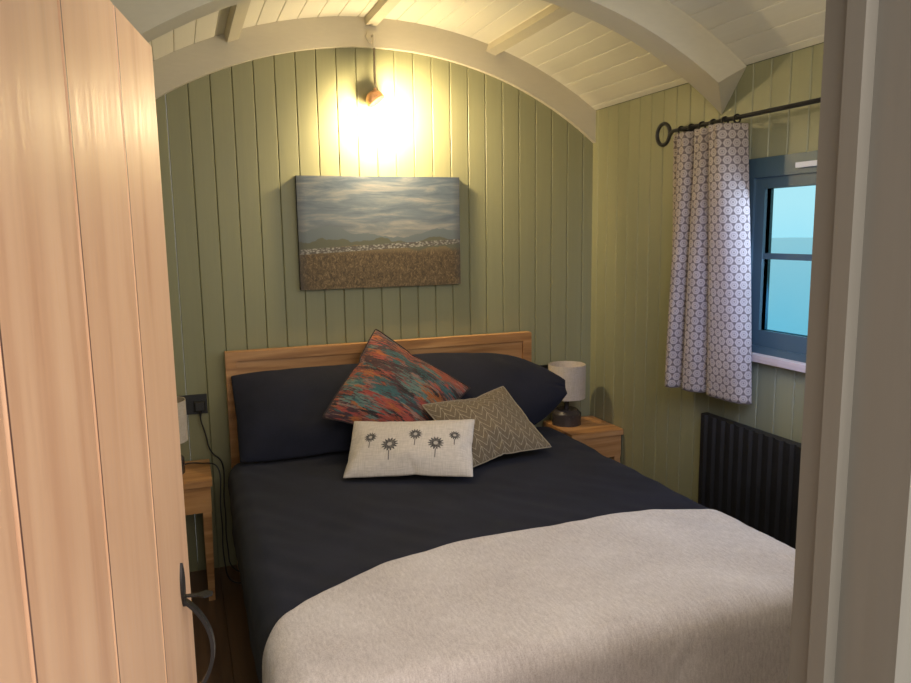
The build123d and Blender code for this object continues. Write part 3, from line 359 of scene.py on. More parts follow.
def wood(name, tones, axis, rough, ring=16.0, seed=0.0, knots=0.0, pitch=None, across=0, start=0.0, joint=None):
    """Planed timber from (light, mid, dark, knot) tones: growth rings and pores along the grain's axis, with
    knots, a tone for each board of a pitch, and lines at the joints where asked."""
    n = Nodes(name)
    light, mid, dark = tones[:3]

    def along_grain(vector, share):
        return n.mapped(vector, tuple(share if k == axis else 1.0 for k in range(3)))

    vector = n.coords(location=(seed, seed * 0.7, seed * 1.3))
    if pitch:
        boards = (n.parts()[across] - start) / pitch
        index = n.math("FLOOR", boards)
        vector = n.shifted(vector, index * 3.17, index * 1.93, index * 2.71)
    grain = along_grain(vector, 0.06)
    sway = n.noise(grain, 3.2, 2, 0.5, 0.4) * 0.12
    rings = n.noise(n.shifted(grain, sway, sway, sway), ring, 3, 0.45, 1.2)
    fine = n.noise(grain, 160, 4, 0.6)
    tone = rings * 0.8 + fine * 0.25
    colour = n.ramp(tone, [(0.34, dark), (0.5, mid), (0.66, light)])
    if knots:
        squeezed = along_grain(vector, 0.42)
        distance = n.cells(squeezed, knots, "Distance") + n.noise(squeezed, 60, 2) * 0.03
        colour = n.mix(n.remap(distance, 0.06, 0.24, 0.5, 0), colour, dark)
        colour = n.mix(n.remap(distance, 0.045, 0.085, 1, 0), colour, tones[3])
    if pitch:
        colour = n.mix(n.remap(n.chance(index), 0, 1, 0.0, 0.22), colour, tinted(mid, 0.62))
    if joint:
        colour = n.mix(n.remap(n.offset(boards + 0.5), 0.0045, 0.0105, 1, 0), colour, joint)
    return n.finish(colour, n.spread(fine, rough - 0.07, rough + 0.09), n.bump(tone, 0.25, 0.0005))


# ---- materials
SAGE_COLOUR = (0.243, 0.234, 0.124)
CREAM_COLOUR = (0.53, 0.475, 0.350)
OUTSIDE_COLOUR, OUTSIDE_WORN = (0.105, 0.135, 0.100), (0.16, 0.18, 0.13)
PINE_TONES = ((0.73, 0.45, 0.265), (0.68, 0.405, 0.235), (0.58, 0.315, 0.175), (0.27, 0.115, 0.055))
OAK_TONES = ((0.52, 0.275, 0.108), (0.415, 0.20, 0.070), (0.27, 0.122, 0.040))
FLOOR_TONES = ((0.20, 0.112, 0.062), (0.135, 0.075, 0.042), (0.080, 0.044, 0.025))
BEARER_TONES = ((0.30, 0.22, 0.14), (0.21, 0.15, 0.09), (0.12, 0.08, 0.05))
SILL_TONES = ((0.52, 0.43, 0.36), (0.44, 0.36, 0.30), (0.34, 0.27, 0.22))
OUTER_PITCH, FLOOR_PITCH = 0.12, 0.14

SAGE = paint("sage_boards_x", SAGE_COLOUR, 0.5, (1, 1, 0.04), PITCH, 0)
SAGE_Y = paint("sage_boards_y", SAGE_COLOUR, 0.5, (1, 1, 0.04), PITCH, 1)
CREAM = paint("cream_ceiling", (0.70, 0.655, 0.53), 0.5, (1, 0.04, 1), PITCH, 0, tone=0.04)
OUTER_X = paint("outer_boards_x", OUTSIDE_COLOUR, 0.6, (1, 1, 0.04), OUTER_PITCH, 0, 0.12, OUTSIDE_WORN)
OUTER_Y = paint("outer_boards_y", OUTSIDE_COLOUR, 0.6, (1, 1, 0.04), OUTER_PITCH, 1, 0.12, OUTSIDE_WORN)
PINE = wood(
    "knotty_pine", PINE_TONES, 2, 0.42, 13, 1.7, 3.4, pitch=0.218, across=1, start=-0.8857, joint=(0.115, 0.050, 0.036)
)
OAK_FLOOR = wood("oak_floor", FLOOR_TONES, 1, 0.4, 12, pitch=FLOOR_PITCH)


def metal(name, colour, rough, scale, metallic, pits=0.3):
    n = Nodes(name)
    coarse = n.specks(scale, 4, 0.6)
    tone = n.ramp(n.specks(11, 3, 0.5), [(0.3, tinted(colour, 0.75)), (0.7, tinted(colour, 1.25))])
    return n.finish(tone, n.spread(coarse, rough - 0.08, rough + 0.12), n.bump(coarse, pits, 0.0005), Metallic=metallic)


ROSE_FOOT = FLOOR + 2.300


def stem_finish():
    """The light's rod in dull bronze, its rose painted in with the bow."""
    n = Nodes("dull_bronze")
    painted = n.remap(n.parts()[2], ROSE_FOOT - 0.001, ROSE_FOOT + 0.001, 0, 1)
    cloud = n.specks(40, 4, 0.6)
    bronze = n.ramp(cloud, [(0.3, (0.17, 0.145, 0.10)), (0.7, (0.25, 0.21, 0.15))])
    return n.finish(
        n.mix(painted, bronze, CREAM_COLOUR), n.spread(cloud, 0.36, 0.5), n.bump(cloud, 0.15, 0.0004),
        Metallic=n.remap(painted, 0, 1, 0.7, 0),
    )


def plain(name, colour, rough, grain=200, strength=0.1):
    n = Nodes(name)
    fine = n.specks(grain)
    tone = n.ramp(n.specks(9), [(0.3, tinted(colour, 0.93)), (0.7, tinted(colour, 1.05))])
    return n.finish(tone, n.spread(fine, rough - 0.04, rough + 0.06), n.bump(fine, strength, 0.0004))


ROOF = metal("roof_sheet", (0.060, 0.072, 0.066), 0.45, 60, 0.3, 0.2)
FLEX = plain("black_flex", (0.022, 0.021, 0.021), 0.42, 500, 0.12)


def glass():
    """Clear glass, bluer below and paler above for the daylight behind it."""
    n = Nodes("window_pane")
    ripple = n.specks(6, 2)
    height = n.remap(n.parts()[2], FLOOR + 1.15, FLOOR + 1.60, 0.1, 0.8) + ripple * 0.15
    tint = n.ramp(height, [(0.15, (0.20, 0.70, 0.96)), (0.85, (0.42, 0.82, 0.93))])
    return n.finish(tint, 0.02, n.bump(ripple, 0.03), Transmission_Weight=1.0, IOR=1.08)


def cloth(name, colour, thread, rough, sheen, strength=0.3, kind="UV"):
    """Woven cloth: threads from the flat cut's own coordinates, slub and a broad tone."""
    n = Nodes(name)
    height = n.threads(1 / thread / 6, (1, 0.12, 1), (0.12, 1, 1), kind)
    tone = n.specks(6.0) * 0.5 + height * 0.25
    out = n.ramp(tone, [(0.38, tinted(colour, 0.8)), (0.5, colour), (0.62, tinted(colour, 1.2))])
    return n.finish(
        out, rough, n.bump(height, strength, 0.0008), Sheen_Weight=sheen, Sheen_Roughness=0.5, Specular_IOR_Level=0.25
    )


NAVY_COLOUR = (0.0100, 0.0110, 0.0205)
NAVY = cloth("navy_cotton", NAVY_COLOUR, 0.0008, 0.85, 0.03)
NAVY_SHEET = cloth("navy_sheet", NAVY_COLOUR, 0.0008, 0.9, 0.03, kind="Object")


def wool():
    """Felted oatmeal wool: flecks of lighter and darker fibre over a soft nap."""
    n = Nodes("felted_wool")
    fleck = n.specks(330, 5, 0.75)
    strand = n.specks(140, 5, 0.7, (1, 0.25, 1), "UV")
    tone = fleck * 0.45 + strand * 0.35 + n.specks(5, 3, 0.5) * 0.2
    out = n.ramp(tone, [(0.36, (0.33, 0.275, 0.245)), (0.5, (0.49, 0.425, 0.385)), (0.62, (0.63, 0.565, 0.52))])
    return n.finish(out, 0.95, n.bump(fleck + strand, 0.55, 0.0018), Sheen_Weight=0.15, Sheen_Roughness=0.6)


WOOL = wool()


def hexagon_cloth():
    """Curtain print: a lattice of small six-sided cells on cream, woven cotton beneath."""
    n = Nodes("hexagon_cotton")
    x, y, _ = n.parts("UV")
    cell = 0.030
    waves = []
    for turn in (math.radians(angle) for angle in (30, 90, 150)):
        u, v = x * (2 * math.pi / cell * math.cos(turn)), y * (2 * math.pi / cell * math.sin(turn))
        waves.append(n.math("COSINE", u + v))
    total = waves[0] + waves[1] + waves[2]
    line = n.remap(total, -1.10, -0.78, 1, 0)
    ring = n.remap(abs(total - 1.15), 0.22, 0.42, 0.6, 0)
    dot = n.remap(total, 2.55, 2.75, 0, 0.8)
    thread = n.specks(210, 3, 0.6, (1, 0.15, 1), "UV")
    ink = n.largest(line, ring, dot) * n.spread(thread, 0.75, 1)
    ground = n.ramp(n.specks(7, 2), [(0.3, (0.325, 0.268, 0.215)), (0.7, (0.38, 0.318, 0.255))])
    out = n.mix(ink, ground, (0.095, 0.068, 0.056))
    return n.finish(out, 0.9, n.bump(thread, 0.35, 0.0008), Sheen_Weight=0.08)


CURTAIN = hexagon_cloth()


def dabbed_cloth():
    """Scatter cushion: dry-brushed streaks of rust, teal, plum, pink and ochre, broken by dark thread."""
    n = Nodes("dabbed_cloth")
    palette = [
        (0.0, (0.24, 0.050, 0.022)), (0.13, (0.045, 0.017, 0.022)), (0.27, (0.022, 0.088, 0.095)),
        (0.38, (0.33, 0.100, 0.024)), (0.48, (0.014, 0.010, 0.012)), (0.60, (0.22, 0.12, 0.10)),
        (0.71, (0.29, 0.048, 0.036)), (0.80, (0.085, 0.15, 0.135)), (0.90, (0.060, 0.026, 0.028)),
    ]
    fray = n.specks(95, 4, 0.7, (0.14, 1, 1), "UV")
    layers = []
    for scale, seed in (((6, 17, 1), 0.0), ((12, 44, 1), 3.7)):
        pushed = n.shifted(n.coords("UV", scale, (seed, seed, 0)), fray * 5.0, fray * 0.5)
        pick = n.add("SeparateColor", (n.cells(pushed, 1.0, "Color"),))
        layers.append(n.ramp(pick, palette, "CONSTANT"))
    choose = n.specks(34, 4, 0.6, (0.3, 1, 1), "UV")
    colour = n.mix(n.remap(choose, 0.47, 0.55, 0, 1), *layers)
    brush = n.specks(230, 4, 0.7, (0.10, 1, 1), "UV")
    colour = n.mix(n.remap(brush, 0.52, 0.61, 0, 0.8), colour, (0.026, 0.015, 0.017))
    pale = n.noise(n.coords("UV", (0.08, 1, 1), (4, 2, 0)), 150, 4, 0.7)
    colour = n.mix(n.remap(pale, 0.60, 0.68, 0, 0.7), colour, (0.33, 0.20, 0.15))
    return n.finish(colour, 0.85, n.bump(brush, 0.35, 0.0008), Sheen_Weight=0.08)


DABBED = dabbed_cloth()


def leaf_cloth():
    """Scatter cushion: columns of slanting pale veins on olive, as on a woven leaf."""
    n = Nodes("veined_cloth")
    x, y, _ = n.parts("UV")
    column = n.offset(x / 0.052)
    vein = n.offset(y / 0.036 - column * 2.3)
    line = n.remap(vein, 0.035, 0.072, 1, 0)
    stem = n.remap(abs(column - 0.5), 0.012, 0.028, 0.8, 0)
    thread = n.specks(240, 4, 0.7, (1, 0.2, 1), "UV")
    mask = n.largest(line, stem) * n.remap(thread, 0.35, 0.6, 0.35, 1)
    ground = n.ramp(thread, [(0.35, (0.108, 0.078, 0.048)), (0.65, (0.158, 0.116, 0.072))])
    out = n.mix(mask * 0.8, ground, (0.47, 0.40, 0.29))
    return n.finish(out, 0.88, n.bump(thread, 0.45, 0.001), Sheen_Weight=0.06)


LEAF = leaf_cloth()

# The seed heads on the oblong cushion, each at (x, y) with its radius.
HEADS = (
    (-0.155, 0.025, 0.026), (-0.075, -0.018, 0.034), (0.02, 0.03, 0.028), (0.1, -0.012, 0.032), (0.17, 0.032, 0.024),
)


def linen():
    """Oblong cushion: white linen with two staggered rows of plain charcoal seed heads on stalks."""
    n = Nodes("printed_linen")
    u, v, _ = n.parts("UV")
    shapes = []
    for x, y, r in HEADS:
        du, dv = u - x, v - y
        distance = n.math("SQRT", du * du + dv * dv)
        spokes = n.math("COSINE", n.math("ARCTAN2", dv, du) * 14)
        head = n.remap(distance - (spokes * (r * 0.16) + r * 0.84), -0.002, 0.0, 1, 0)
        core = n.remap(distance - r * 0.3, -0.002, 0.0, 1, 0)
        stalk = n.remap(abs(du), 0.0012, 0.0024, 1, 0)
        below = n.remap(dv, -r * 2.1, -r * 2.0, 0, 1) * n.remap(dv, -r * 0.85, -r * 0.8, 1, 0)
        shapes.append(n.largest(head - core * 0.7, stalk * below))
    thread = n.threads(230, (1, 0.1, 1), (0.1, 1, 1))
    ink = n.largest(*shapes) * n.remap(thread, 0.8, 1.1, 0.7, 1)
    ground = n.ramp(thread * 0.5, [(0.4, (0.47, 0.415, 0.365)), (0.6, (0.60, 0.535, 0.475))])
    return n.finish(n.mix(ink, ground, (0.035, 0.033, 0.036)), 0.9, n.bump(thread, 0.4, 0.0009), Sheen_Weight=0.06)


LINEN = linen()
PIPING = cloth("dark_piping", (0.035, 0.022, 0.022), 0.001, 0.9, 0.1, 0.4, "Object")


def shade_cloth():
    """The lampshades' linen."""
    n = Nodes("shade_linen")
    height = n.threads(260, (1, 1, 0.1), (0.2, 0.2, 1), "Object")
    out = n.ramp(height * 0.5, [(0.4, (0.46, 0.385, 0.29)), (0.6, (0.56, 0.475, 0.365))])
    return n.finish(out, 0.9, n.bump(height, 0.35, 0.0006), Sheen_Weight=0.1)


# The canvas: its lower left corner (X, height) and its size. Each ridge is (level, roll, tint, height).
CANVAS_AT, CANVAS_SIZE = (-0.390, 1.25), (0.762, 0.502)
RIDGES = (
    (0.50, 1.6, (0.10, 0.12, 0.13), 0.16), (0.43, 2.7, (0.085, 0.088, 0.060), 0.14),
    (0.36, 3.9, (0.14, 0.105, 0.055), 0.10),
)
SKY = [
    (0.34, (0.045, 0.070, 0.105)), (0.48, (0.090, 0.120, 0.150)), (0.6, (0.20, 0.205, 0.20)),
    (0.72, (0.34, 0.31, 0.265)),
]
SKY_BY_HEIGHT = [(0.42, (0.27, 0.235, 0.175)), (0.62, (0.115, 0.13, 0.15)), (1.0, (0.040, 0.050, 0.072))]
MEADOW = [(0.32, (0.026, 0.018, 0.011)), (0.5, (0.085, 0.056, 0.027)), (0.66, (0.22, 0.155, 0.082))]


def canvas_print():
    """A plain moorland view: rolling ridges, a drystone line and rough grass under a streaked sky."""
    n = Nodes("printed_canvas")
    parts = n.parts()
    x = (parts[0] - CANVAS_AT[0]) / CANVAS_SIZE[0]
    z = (parts[2] - (FLOOR + CANVAS_AT[1])) / CANVAS_SIZE[1]
    place = n.joined(x, z)
    streak = n.noise(n.mapped(place, (1.3, 5.5, 1), (0, 0, math.radians(-7))), 2.6, 7, 0.62, 0.5)
    colour = n.mix(0.42, n.ramp(streak, SKY), n.ramp(z, SKY_BY_HEIGHT))
    for low, roll, tint, grow in RIDGES:
        ridge = (n.noise(n.joined(x * roll, roll * 3.1), 1.6, 5, 0.5) - 0.5) * (grow * 2.2) + low
        colour = n.mix(n.remap(ridge - z, -0.003, 0.003, 0, 1), colour, tint)
    grass = n.noise(n.mapped(place, (2.4, 1.0, 1)), 24, 8, 0.75, 1.4)
    colour = n.mix(n.remap(grass * 0.12 + 0.27 - z, -0.02, 0.02, 0, 1), colour, n.ramp(grass, MEADOW))
    stones = n.cells(n.mapped(place, (60, 75, 1)), 1, "Distance")
    stone = n.ramp(stones, [(0.15, (0.30, 0.285, 0.25)), (0.6, (0.08, 0.07, 0.06))])
    colour = n.mix(n.remap(abs(z - (x * 0.07 + 0.335)), 0.020, 0.026, 1, 0), colour, stone)
    edge = n.remap(x, 0.0, 0.05, 0.55, 0) + n.remap(x, 0.95, 1.0, 0, 0.55)
    colour = n.mix(n.largest(edge, 0.0), colour, (0.03, 0.03, 0.035))
    fabric = n.threads(300, (1, 1, 0.2), (0.2, 1, 1), "Object", 2, 0.55)
    return n.finish(colour, 0.72, n.bump(fabric, 0.25, 0.0005))


def dress(nodes, material):
    """Gives CAD nodes that stay in view their finish."""
    for node in nodes.split():
        mesh = NODES[node].data
        if not mesh.materials:
            mesh.materials.append(material)
        for slot in NODES[node].material_slots:
            slot.material = material


dress("floor_bearers floor_cassette", wood("rough_bearers", BEARER_TONES, 1, 0.8))
dress("end_bow roof_bows purlins", paint("cream_bows", CREAM_COLOUR, 0.48, (0.3, 1, 1), tone=0.05))
dress("roof_core", OUTER_Y)
dress("door_jamb_left door_jamb_right door_head", paint("sage_frame", (0.162, 0.148, 0.118)))
dress("door_hinge_pins door_hinge_leaves", metal("dark_hinge", (0.10, 0.085, 0.07), 0.4, 200, 0.8))
dress(
    "latch_keeper door_latch curtain_pole curtain_rings", metal("black_iron", (0.030, 0.028, 0.027), 0.42, 160, 0.6)
)
dress("door_boards", PINE)
dress("door_ledges", wood("pine_ledges", PINE_TONES, 1, 0.42, 13, 5.2, 3.4))
dress("window_frame window_casements", paint("window_green", (0.052, 0.088, 0.094), 0.38, tone=0.08))
dress("window_glass", glass())
dress("window_sill", wood("limed_sill", SILL_TONES, 1, 0.5, 16, 7.7))
dress("trickle_vent", plain("vent_plastic", (0.60, 0.60, 0.57), 0.45))
dress("radiator", metal("black_enamel", (0.009, 0.009, 0.010), 0.5, 300, 0.0, 0.15))
dress("wall_light_stem", stem_finish())
dress("wall_light_head", metal("brushed_copper", (0.70, 0.40, 0.24), 0.32, 240, 1.0, 0.15))
dress("picture_canvas", canvas_print())
dress("headboard bedside_tables", wood("oak_across", OAK_TONES, 0, 0.45, 18, 0.4))
dress("bed_frame", wood("oak_along", OAK_TONES, 1, 0.45, 18, 2.4))
dress("lamp_bases", plain("lamp_glaze", (0.055, 0.045, 0.040), 0.22, 60, 0.08))
dress("lamp_shades", shade_cloth())
dress("wall_sockets", metal("black_plate", (0.018, 0.018, 0.018), 0.35, 400, 0.0, 0.06))
dress("lamp_cord_relief lamp_plug", FLEX)


# ---- the left lamp's lead
LEAD = [
    (-0.9293, 0.1031, 0.531), (-0.9114, 0.0857, 0.531), (-0.884, 0.080, 0.527), (-0.853, 0.098, 0.526),
    (-0.829, 0.122, 0.5325), (-0.797, 0.147, 0.528), (-0.784, 0.160, 0.484), (-0.789, 0.170, 0.420),
    (-0.795, 0.178, 0.340), (-0.790, 0.183, 0.258), (-0.796, 0.186, 0.176), (-0.791, 0.190, 0.100),
    (-0.786, 0.194, 0.044), (-0.763, 0.199, 0.010), (-0.722, 0.208, 0.0034), (-0.676, 0.220, 0.0034),
    (-0.634, 0.210, 0.0034), (-0.612, 0.172, 0.0034), (-0.618, 0.128, 0.0034), (-0.655, 0.101, 0.0034),
    (-0.702, 0.098, 0.0034), (-0.742, 0.084, 0.008), (-0.768, 0.058, 0.036), (-0.768, 0.034, 0.090),
    (-0.774, 0.025, 0.168), (-0.768, 0.022, 0.250), (-0.773, 0.023, 0.332), (-0.766, 0.021, 0.412),
    (-0.764, 0.020, 0.472), (-0.777, 0.019, 0.516), (-0.806, 0.018, 0.537), (-0.823, 0.019, 0.573),
    (-0.829, 0.020, 0.620), (-0.839, 0.021, 0.664), (-0.848, 0.021, 0.692), (-0.848, 0.021, 0.716),
]


def lamp_lead():
    """The flex: over the table's edge, a loose loop on the floor and up to the socket."""
    curve = bpy.data.curves.new("lamp_lead", "CURVE")
    curve.dimensions = "3D"
    spline = curve.splines.new("NURBS")
    spline.points.add(len(LEAD) - 1)
    for point, place in zip(spline.points, LEAD):
        point.co = (*P(*place), 1)
    spline.order_u = 3
    spline.use_endpoint_u = True
    spline.resolution_u = 8
    curve.bevel_depth = 0.003
    curve.bevel_resolution = 3
    curve.materials.append(FLEX)
    lead = placed("lamp_lead", curve)
    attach(lead, "hut")
    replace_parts(lead, "lamp_cord")
    P(*LEAD[0])


lamp_lead()


# ---- boarded walls, ceiling, floor and roof
TOP = 1.9487  # the radius of the end wall's top
LINED = HALF + 0.018
OUTER = HALF + 0.100
GABLE = -0.100  # the end wall's outer face
WINDOW = (1.100, 1.934, 1.009, 1.734)
INNER_BOARDS = (PITCH, 0.018, 0.0032)
OUTER_BOARDS = (OUTER_PITCH, 0.082, 0.005)


def arc_top(radius):
    return lambda s: arc_z(radius, s)


def side_wall(name, side, outside, opening, node):
    face = OUTER if outside else HALF
    back, turn, top = (-0.018, -1, OUTER) if outside else (0, 1, LINED)
    mesh = upright_boards(
        back, FRONT, 0.03 if outside else 0.1406, OUTER_BOARDS if outside else INNER_BOARDS,
        lambda s, d, z: P(side * (face + turn * d), s, z), 0, level(arc_z(TOP, top)), opening,
    )
    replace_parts(make(name, *mesh, OUTER_Y if outside else SAGE_Y), node)


def end_walls():
    mesh = upright_boards(
        -LINED, LINED, -0.12 * PITCH, INNER_BOARDS, lambda s, d, z: P(s, -d, z), 0, arc_top(TOP)
    )
    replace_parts(make("end_wall_boards", *mesh, SAGE), "end_wall_lining")
    side_wall("left_wall_boards", -1, False, (), "left_wall_lining")
    side_wall("right_wall_boards", 1, False, WINDOW, "right_wall_lining")
    mesh = upright_boards(
        -OUTER, OUTER, 0.06, OUTER_BOARDS, lambda s, d, z: P(s, GABLE + d, z), 0, arc_top(TOP)
    )
    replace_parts(make("gable_boards", *mesh, OUTER_X), "end_wall")
    side_wall("left_outer_boards", -1, True, (), "left_wall")
    side_wall("right_outer_boards", 1, True, WINDOW, "right_wall")


end_walls()


def partition_boards():
    """The partition: upright boards on both its faces, meeting in its middle."""
    door_side, kind = -0.286, (PITCH, 0.047, 0.0032)
    for name, low, high, foot, node in (
        ("partition_boards_right", door_side, HALF, 0.0, "partition_right"),
        ("partition_boards_head", -HALF, door_side, 1.828, "partition_head"),
    ):
        mesh = ((), ())
        for face, turn in ((2.919, 1), (2.825, -1)):
            mesh = upright_boards(
                low, high, door_side, kind, lambda s, d, z: P(s, face - turn * d, z), foot, arc_top(1.9367), (), *mesh
            )
        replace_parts(make(name, *mesh, SAGE), node)


partition_boards()


def ceiling():
    """Boards along the hut, each a flat strip of the ceiling's arc."""
    verts, faces = [], []
    middle = CEILING + 0.006
    limit = math.asin(HALF / middle)
    lines = joints(-limit, limit, 0, PITCH / middle)

    def end(along):
        def at(p):
            radius = CEILING + p[1]
            x = max(-HALF, min(HALF, radius * math.sin(p[0] / middle)))
            return P(x, along, arc_z(radius, x))

        return at

    for a, b in pairs(lines):
        section = board_section(a * middle, b * middle, 0.012, 0.0022, a != lines[0], b != lines[-1], 0.0005)
        prism(section, end(0), end(FRONT), verts, faces)
    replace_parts(make("ceiling_strips", verts, faces, CREAM), "ceiling_boards")


ceiling()


def floor_planks():
    verts, faces = [], []
    lines = joints(-OUTER, OUTER, 0.03, FLOOR_PITCH)
    for a, b in pairs(lines):
        section = board_section(a, b, 0.020, 0.0015, a != lines[0], b != lines[-1], 0.0004)
        prism(section, lambda p: P(p[0], GABLE, -p[1]), lambda p: P(p[0], FRONT, -p[1]), verts, faces)
    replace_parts(make("floor_planks", verts, faces, OAK_FLOOR), "floor_boards")


floor_planks()

ROOF_RADIUS, ROOF_HALF, ROOF_START = 2.0023, OUTER + 0.050, -0.160
WAVE, WAVE_DEPTH, WAVE_STEPS = 0.0762, 0.0072, 8


def roof_iron():
    """Corrugated iron bent over the hut, its waves running from eave to eave."""
    rows = int(round((FRONT - ROOF_START) / WAVE * WAVE_STEPS))
    spans = 30
    limit = math.asin(ROOF_HALF / ROOF_RADIUS)
    verts, faces = [], []
    for skin in (0.0004, -0.0004):
        for i in range(rows + 1):
            along = ROOF_START + (FRONT - ROOF_START) * i / rows
            radius = ROOF_RADIUS + WAVE_DEPTH * math.cos(2 * math.pi * (along - ROOF_START) / WAVE) + skin
            for j in range(spans + 1):
                x = radius * math.sin(-limit + 2 * limit * j / spans)
                x = max(-ROOF_HALF, min(ROOF_HALF, x))
                verts.append(P(x, along, arc_z(radius, x)))
    wide = spans + 1
    under = (rows + 1) * wide
    for i in range(rows):
        for a in range(i * wide, i * wide + spans):
            faces.append([a, a + wide, a + wide + 1, a + 1])
            faces.append([under + a, under + a + 1, under + a + wide + 1, under + a + wide])
    rims = [(a, a + wide) for i in range(rows) for a in (i * wide, i * wide + spans)]
    rims += [(i * wide + j, i * wide + j + 1) for j in range(spans) for i in (0, rows)]
    faces += [[a, b, under + b, under + a] for a, b in rims]
    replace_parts(make("roof_iron", verts, faces, ROOF, smooth=True), "roof_sheet")


roof_iron()


# ---- cloth
def simulate(obj, frames, mass, tension, bending, shrink, quality, pressure=None, pin=None):
    """Runs Blender's cloth on a mesh and applies the result: blown up where it has pressure, else draped."""
    mod = obj.modifiers.new("cloth", "CLOTH")
    settings, contact = mod.settings, mod.collision_settings
    settings.quality = quality
    settings.mass = mass
    settings.tension_stiffness = settings.compression_stiffness = tension
    settings.shear_stiffness = tension * 0.4
    settings.bending_stiffness = bending
    settings.tension_damping = 5.0
    settings.air_damping = 1.0
    settings.shrink_min = shrink
    settings.effector_weights.gravity = 1.0 if pressure is None else 0.0
    if pressure is not None:
        settings.use_pressure = True
        settings.uniform_pressure_force = pressure
    if pin:
        settings.vertex_group_mass = pin
    contact.use_collision = pressure is None
    contact.use_self_collision = False
    contact.distance_min = contact.self_distance_min = 0.003
    mod.point_cache.frame_start = 1
    mod.point_cache.frame_end = frames
    for index in range(1, frames + 1):
        scene.frame_set(index)
    apply_modifiers(obj)
    scene.frame_set(1)


PUFF = 0.012  # half the panels' distance before they are blown up


def pillowcase(width, height, columns, rows):
    """Two square-cut panels sewn together round their edge, lying in XZ, with flat coordinates in metres."""
    verts, faces, uvs, index = [], [], [], {}

    def key(side, i, j):
        return (0 if i in (0, columns) or j in (0, rows) else side, i, j)

    for side in (-1, 1):
        for i in range(columns + 1):
            for j in range(rows + 1):
                corner = key(side, i, j)
                if corner in index:
                    continue
                x = width * (i / columns - 0.5)
                z = height * (j / rows - 0.5)
                round_off = math.cos(math.pi * x / width) * math.cos(math.pi * z / height)
                index[corner] = len(verts)
                verts.append((x, corner[0] * (PUFF * 0.3 + PUFF * round_off), z))
                uvs.append((x, z))
    for side in (-1, 1):
        for i in range(columns):
            for j in range(rows):
                around = ((i, j), (i + 1, j), (i + 1, j + 1), (i, j + 1))
                corners = [index[key(side, *place)] for place in around]
                faces.append(corners if side < 0 else corners[::-1])
    rim = [(i, 0) for i in range(columns)] + [(columns, j) for j in range(rows)]
    rim += [(i, rows) for i in range(columns, 0, -1)] + [(0, j) for j in range(rows, 0, -1)]
    return verts, faces, uvs, [index[(0, i, j)] for i, j in rim]


def middle_of(node, side=0):
    """The middle of a CAD node's box, or of its half on one side of X = 0."""
    points = [v.co for v in NODES[node].data.vertices if side == 0 or v.co.x * side > 0]
    return Vector([(min(axis) + max(axis)) / 2 for axis in zip(*points)])


def scatter(name, node, size, angles, material, pressure, seed, crease, shape=None, pinch=0.3, side=0):
    """A stuffed cushion: sewn panels blown up by cloth pressure, sized, shaped and stood in its node's place.
    pinch is how far its outline draws in as it fills."""
    width, height, thick = size
    columns = 40
    verts, faces, flat, rim = pillowcase(width, height, columns, max(12, int(columns * height / width)))
    rng = random.Random(seed)
    drift = Vector((rng.uniform(0, 50), rng.uniform(0, 50), rng.uniform(0, 50)))
    for k, (x, y, z) in enumerate(verts):
        bump = noise.noise(Vector((x, y, z)) * 9 + drift) * 0.006
        verts[k] = (x, y + (math.copysign(bump, y) if y else bump * 0.6), z)
    obj = make(name, verts, faces, material, True, uvs=flat)
    simulate(obj, 22, 0.25, 14, 0.3, -0.01, 6, pressure)
    points = obj.data.vertices
    low = [min(v.co[k] for v in points) for k in range(3)]
    high = [max(v.co[k] for v in points) for k in range(3)]
    for v in points:
        for k, full in enumerate((width, thick, height)):
            v.co[k] = (v.co[k] - (low[k] + high[k]) / 2) * full / (high[k] - low[k])
        for k in (0, 2):
            v.co[k] = v.co[k] * pinch + flat[v.index][k // 2] * (1 - pinch)
        dent = noise.noise(Vector((v.co.x * 5, v.co.z * 7, v.co.y * 2)) + drift) * crease
        v.co.y += math.copysign(min(dent, 0.0), v.co.y) if abs(v.co.y) > 0.01 else 0
        if shape:
            v.co = shape(v.co.copy(), width, height)
    rim_points = [points[k].co.copy() for k in rim]
    subdivided(obj)
    turn, lean, roll = angles
    place = Matrix.Translation(middle_of(node, side)) @ turned((turn, "Z"), (-lean, "X"), (roll, "Y"))
    obj.data.transform(place)
    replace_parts(obj, node)
    return [place @ p for p in rim_points]


def piping(name, points, radius, material, sides=8):
    """A piped seam: a thin cord sewn round a cushion's edge."""
    count = len(points)
    verts, faces = [], []
    for i in range(count):
        ahead = (points[(i + 1) % count] - points[i - 1]).normalized()
        side = ahead.cross(Vector((0.3, 0.9, 0.2))).normalized()
        up = ahead.cross(side)
        for k in range(sides):
            a = 2 * math.pi * k / sides
            verts.append(points[i] + side * radius * math.cos(a) + up * radius * math.sin(a))
            b, after = (k + 1) % sides, (i + 1) % count * sides
            faces.append([i * sides + k, i * sides + b, after + b, after + k])
    make(name, verts, faces, material, True)


def slumped(p, width, height):
    """A pillow stood on its long edge: fuller below, its top corners soft and low."""
    x, z = p.x / width * 2, p.z / height * 2
    p.y *= 1.0 - 0.20 * z
    p.z -= height * 0.05 * abs(x) ** 3 * (1 + z) / 2
    p.z += height * 0.03 * abs(x) ** 4 * max(-z, 0) * (1 if x < 0 else 0.3) - 0.012 * max(-z, 0)
    return p


def drooped(p, width, height):
    """The right pillow: as the left one, but its outer end draws to a point beside the headboard."""
    p = slumped(p, width, height)
    x = max(p.x / width * 2, 0)
    p.z *= 1 - 0.86 * x**2.2
    p.z += 0.020 * x**2
    p.y -= 0.02 * x**3
    return p


DABBED_ANGLES = (2, 42, 41)


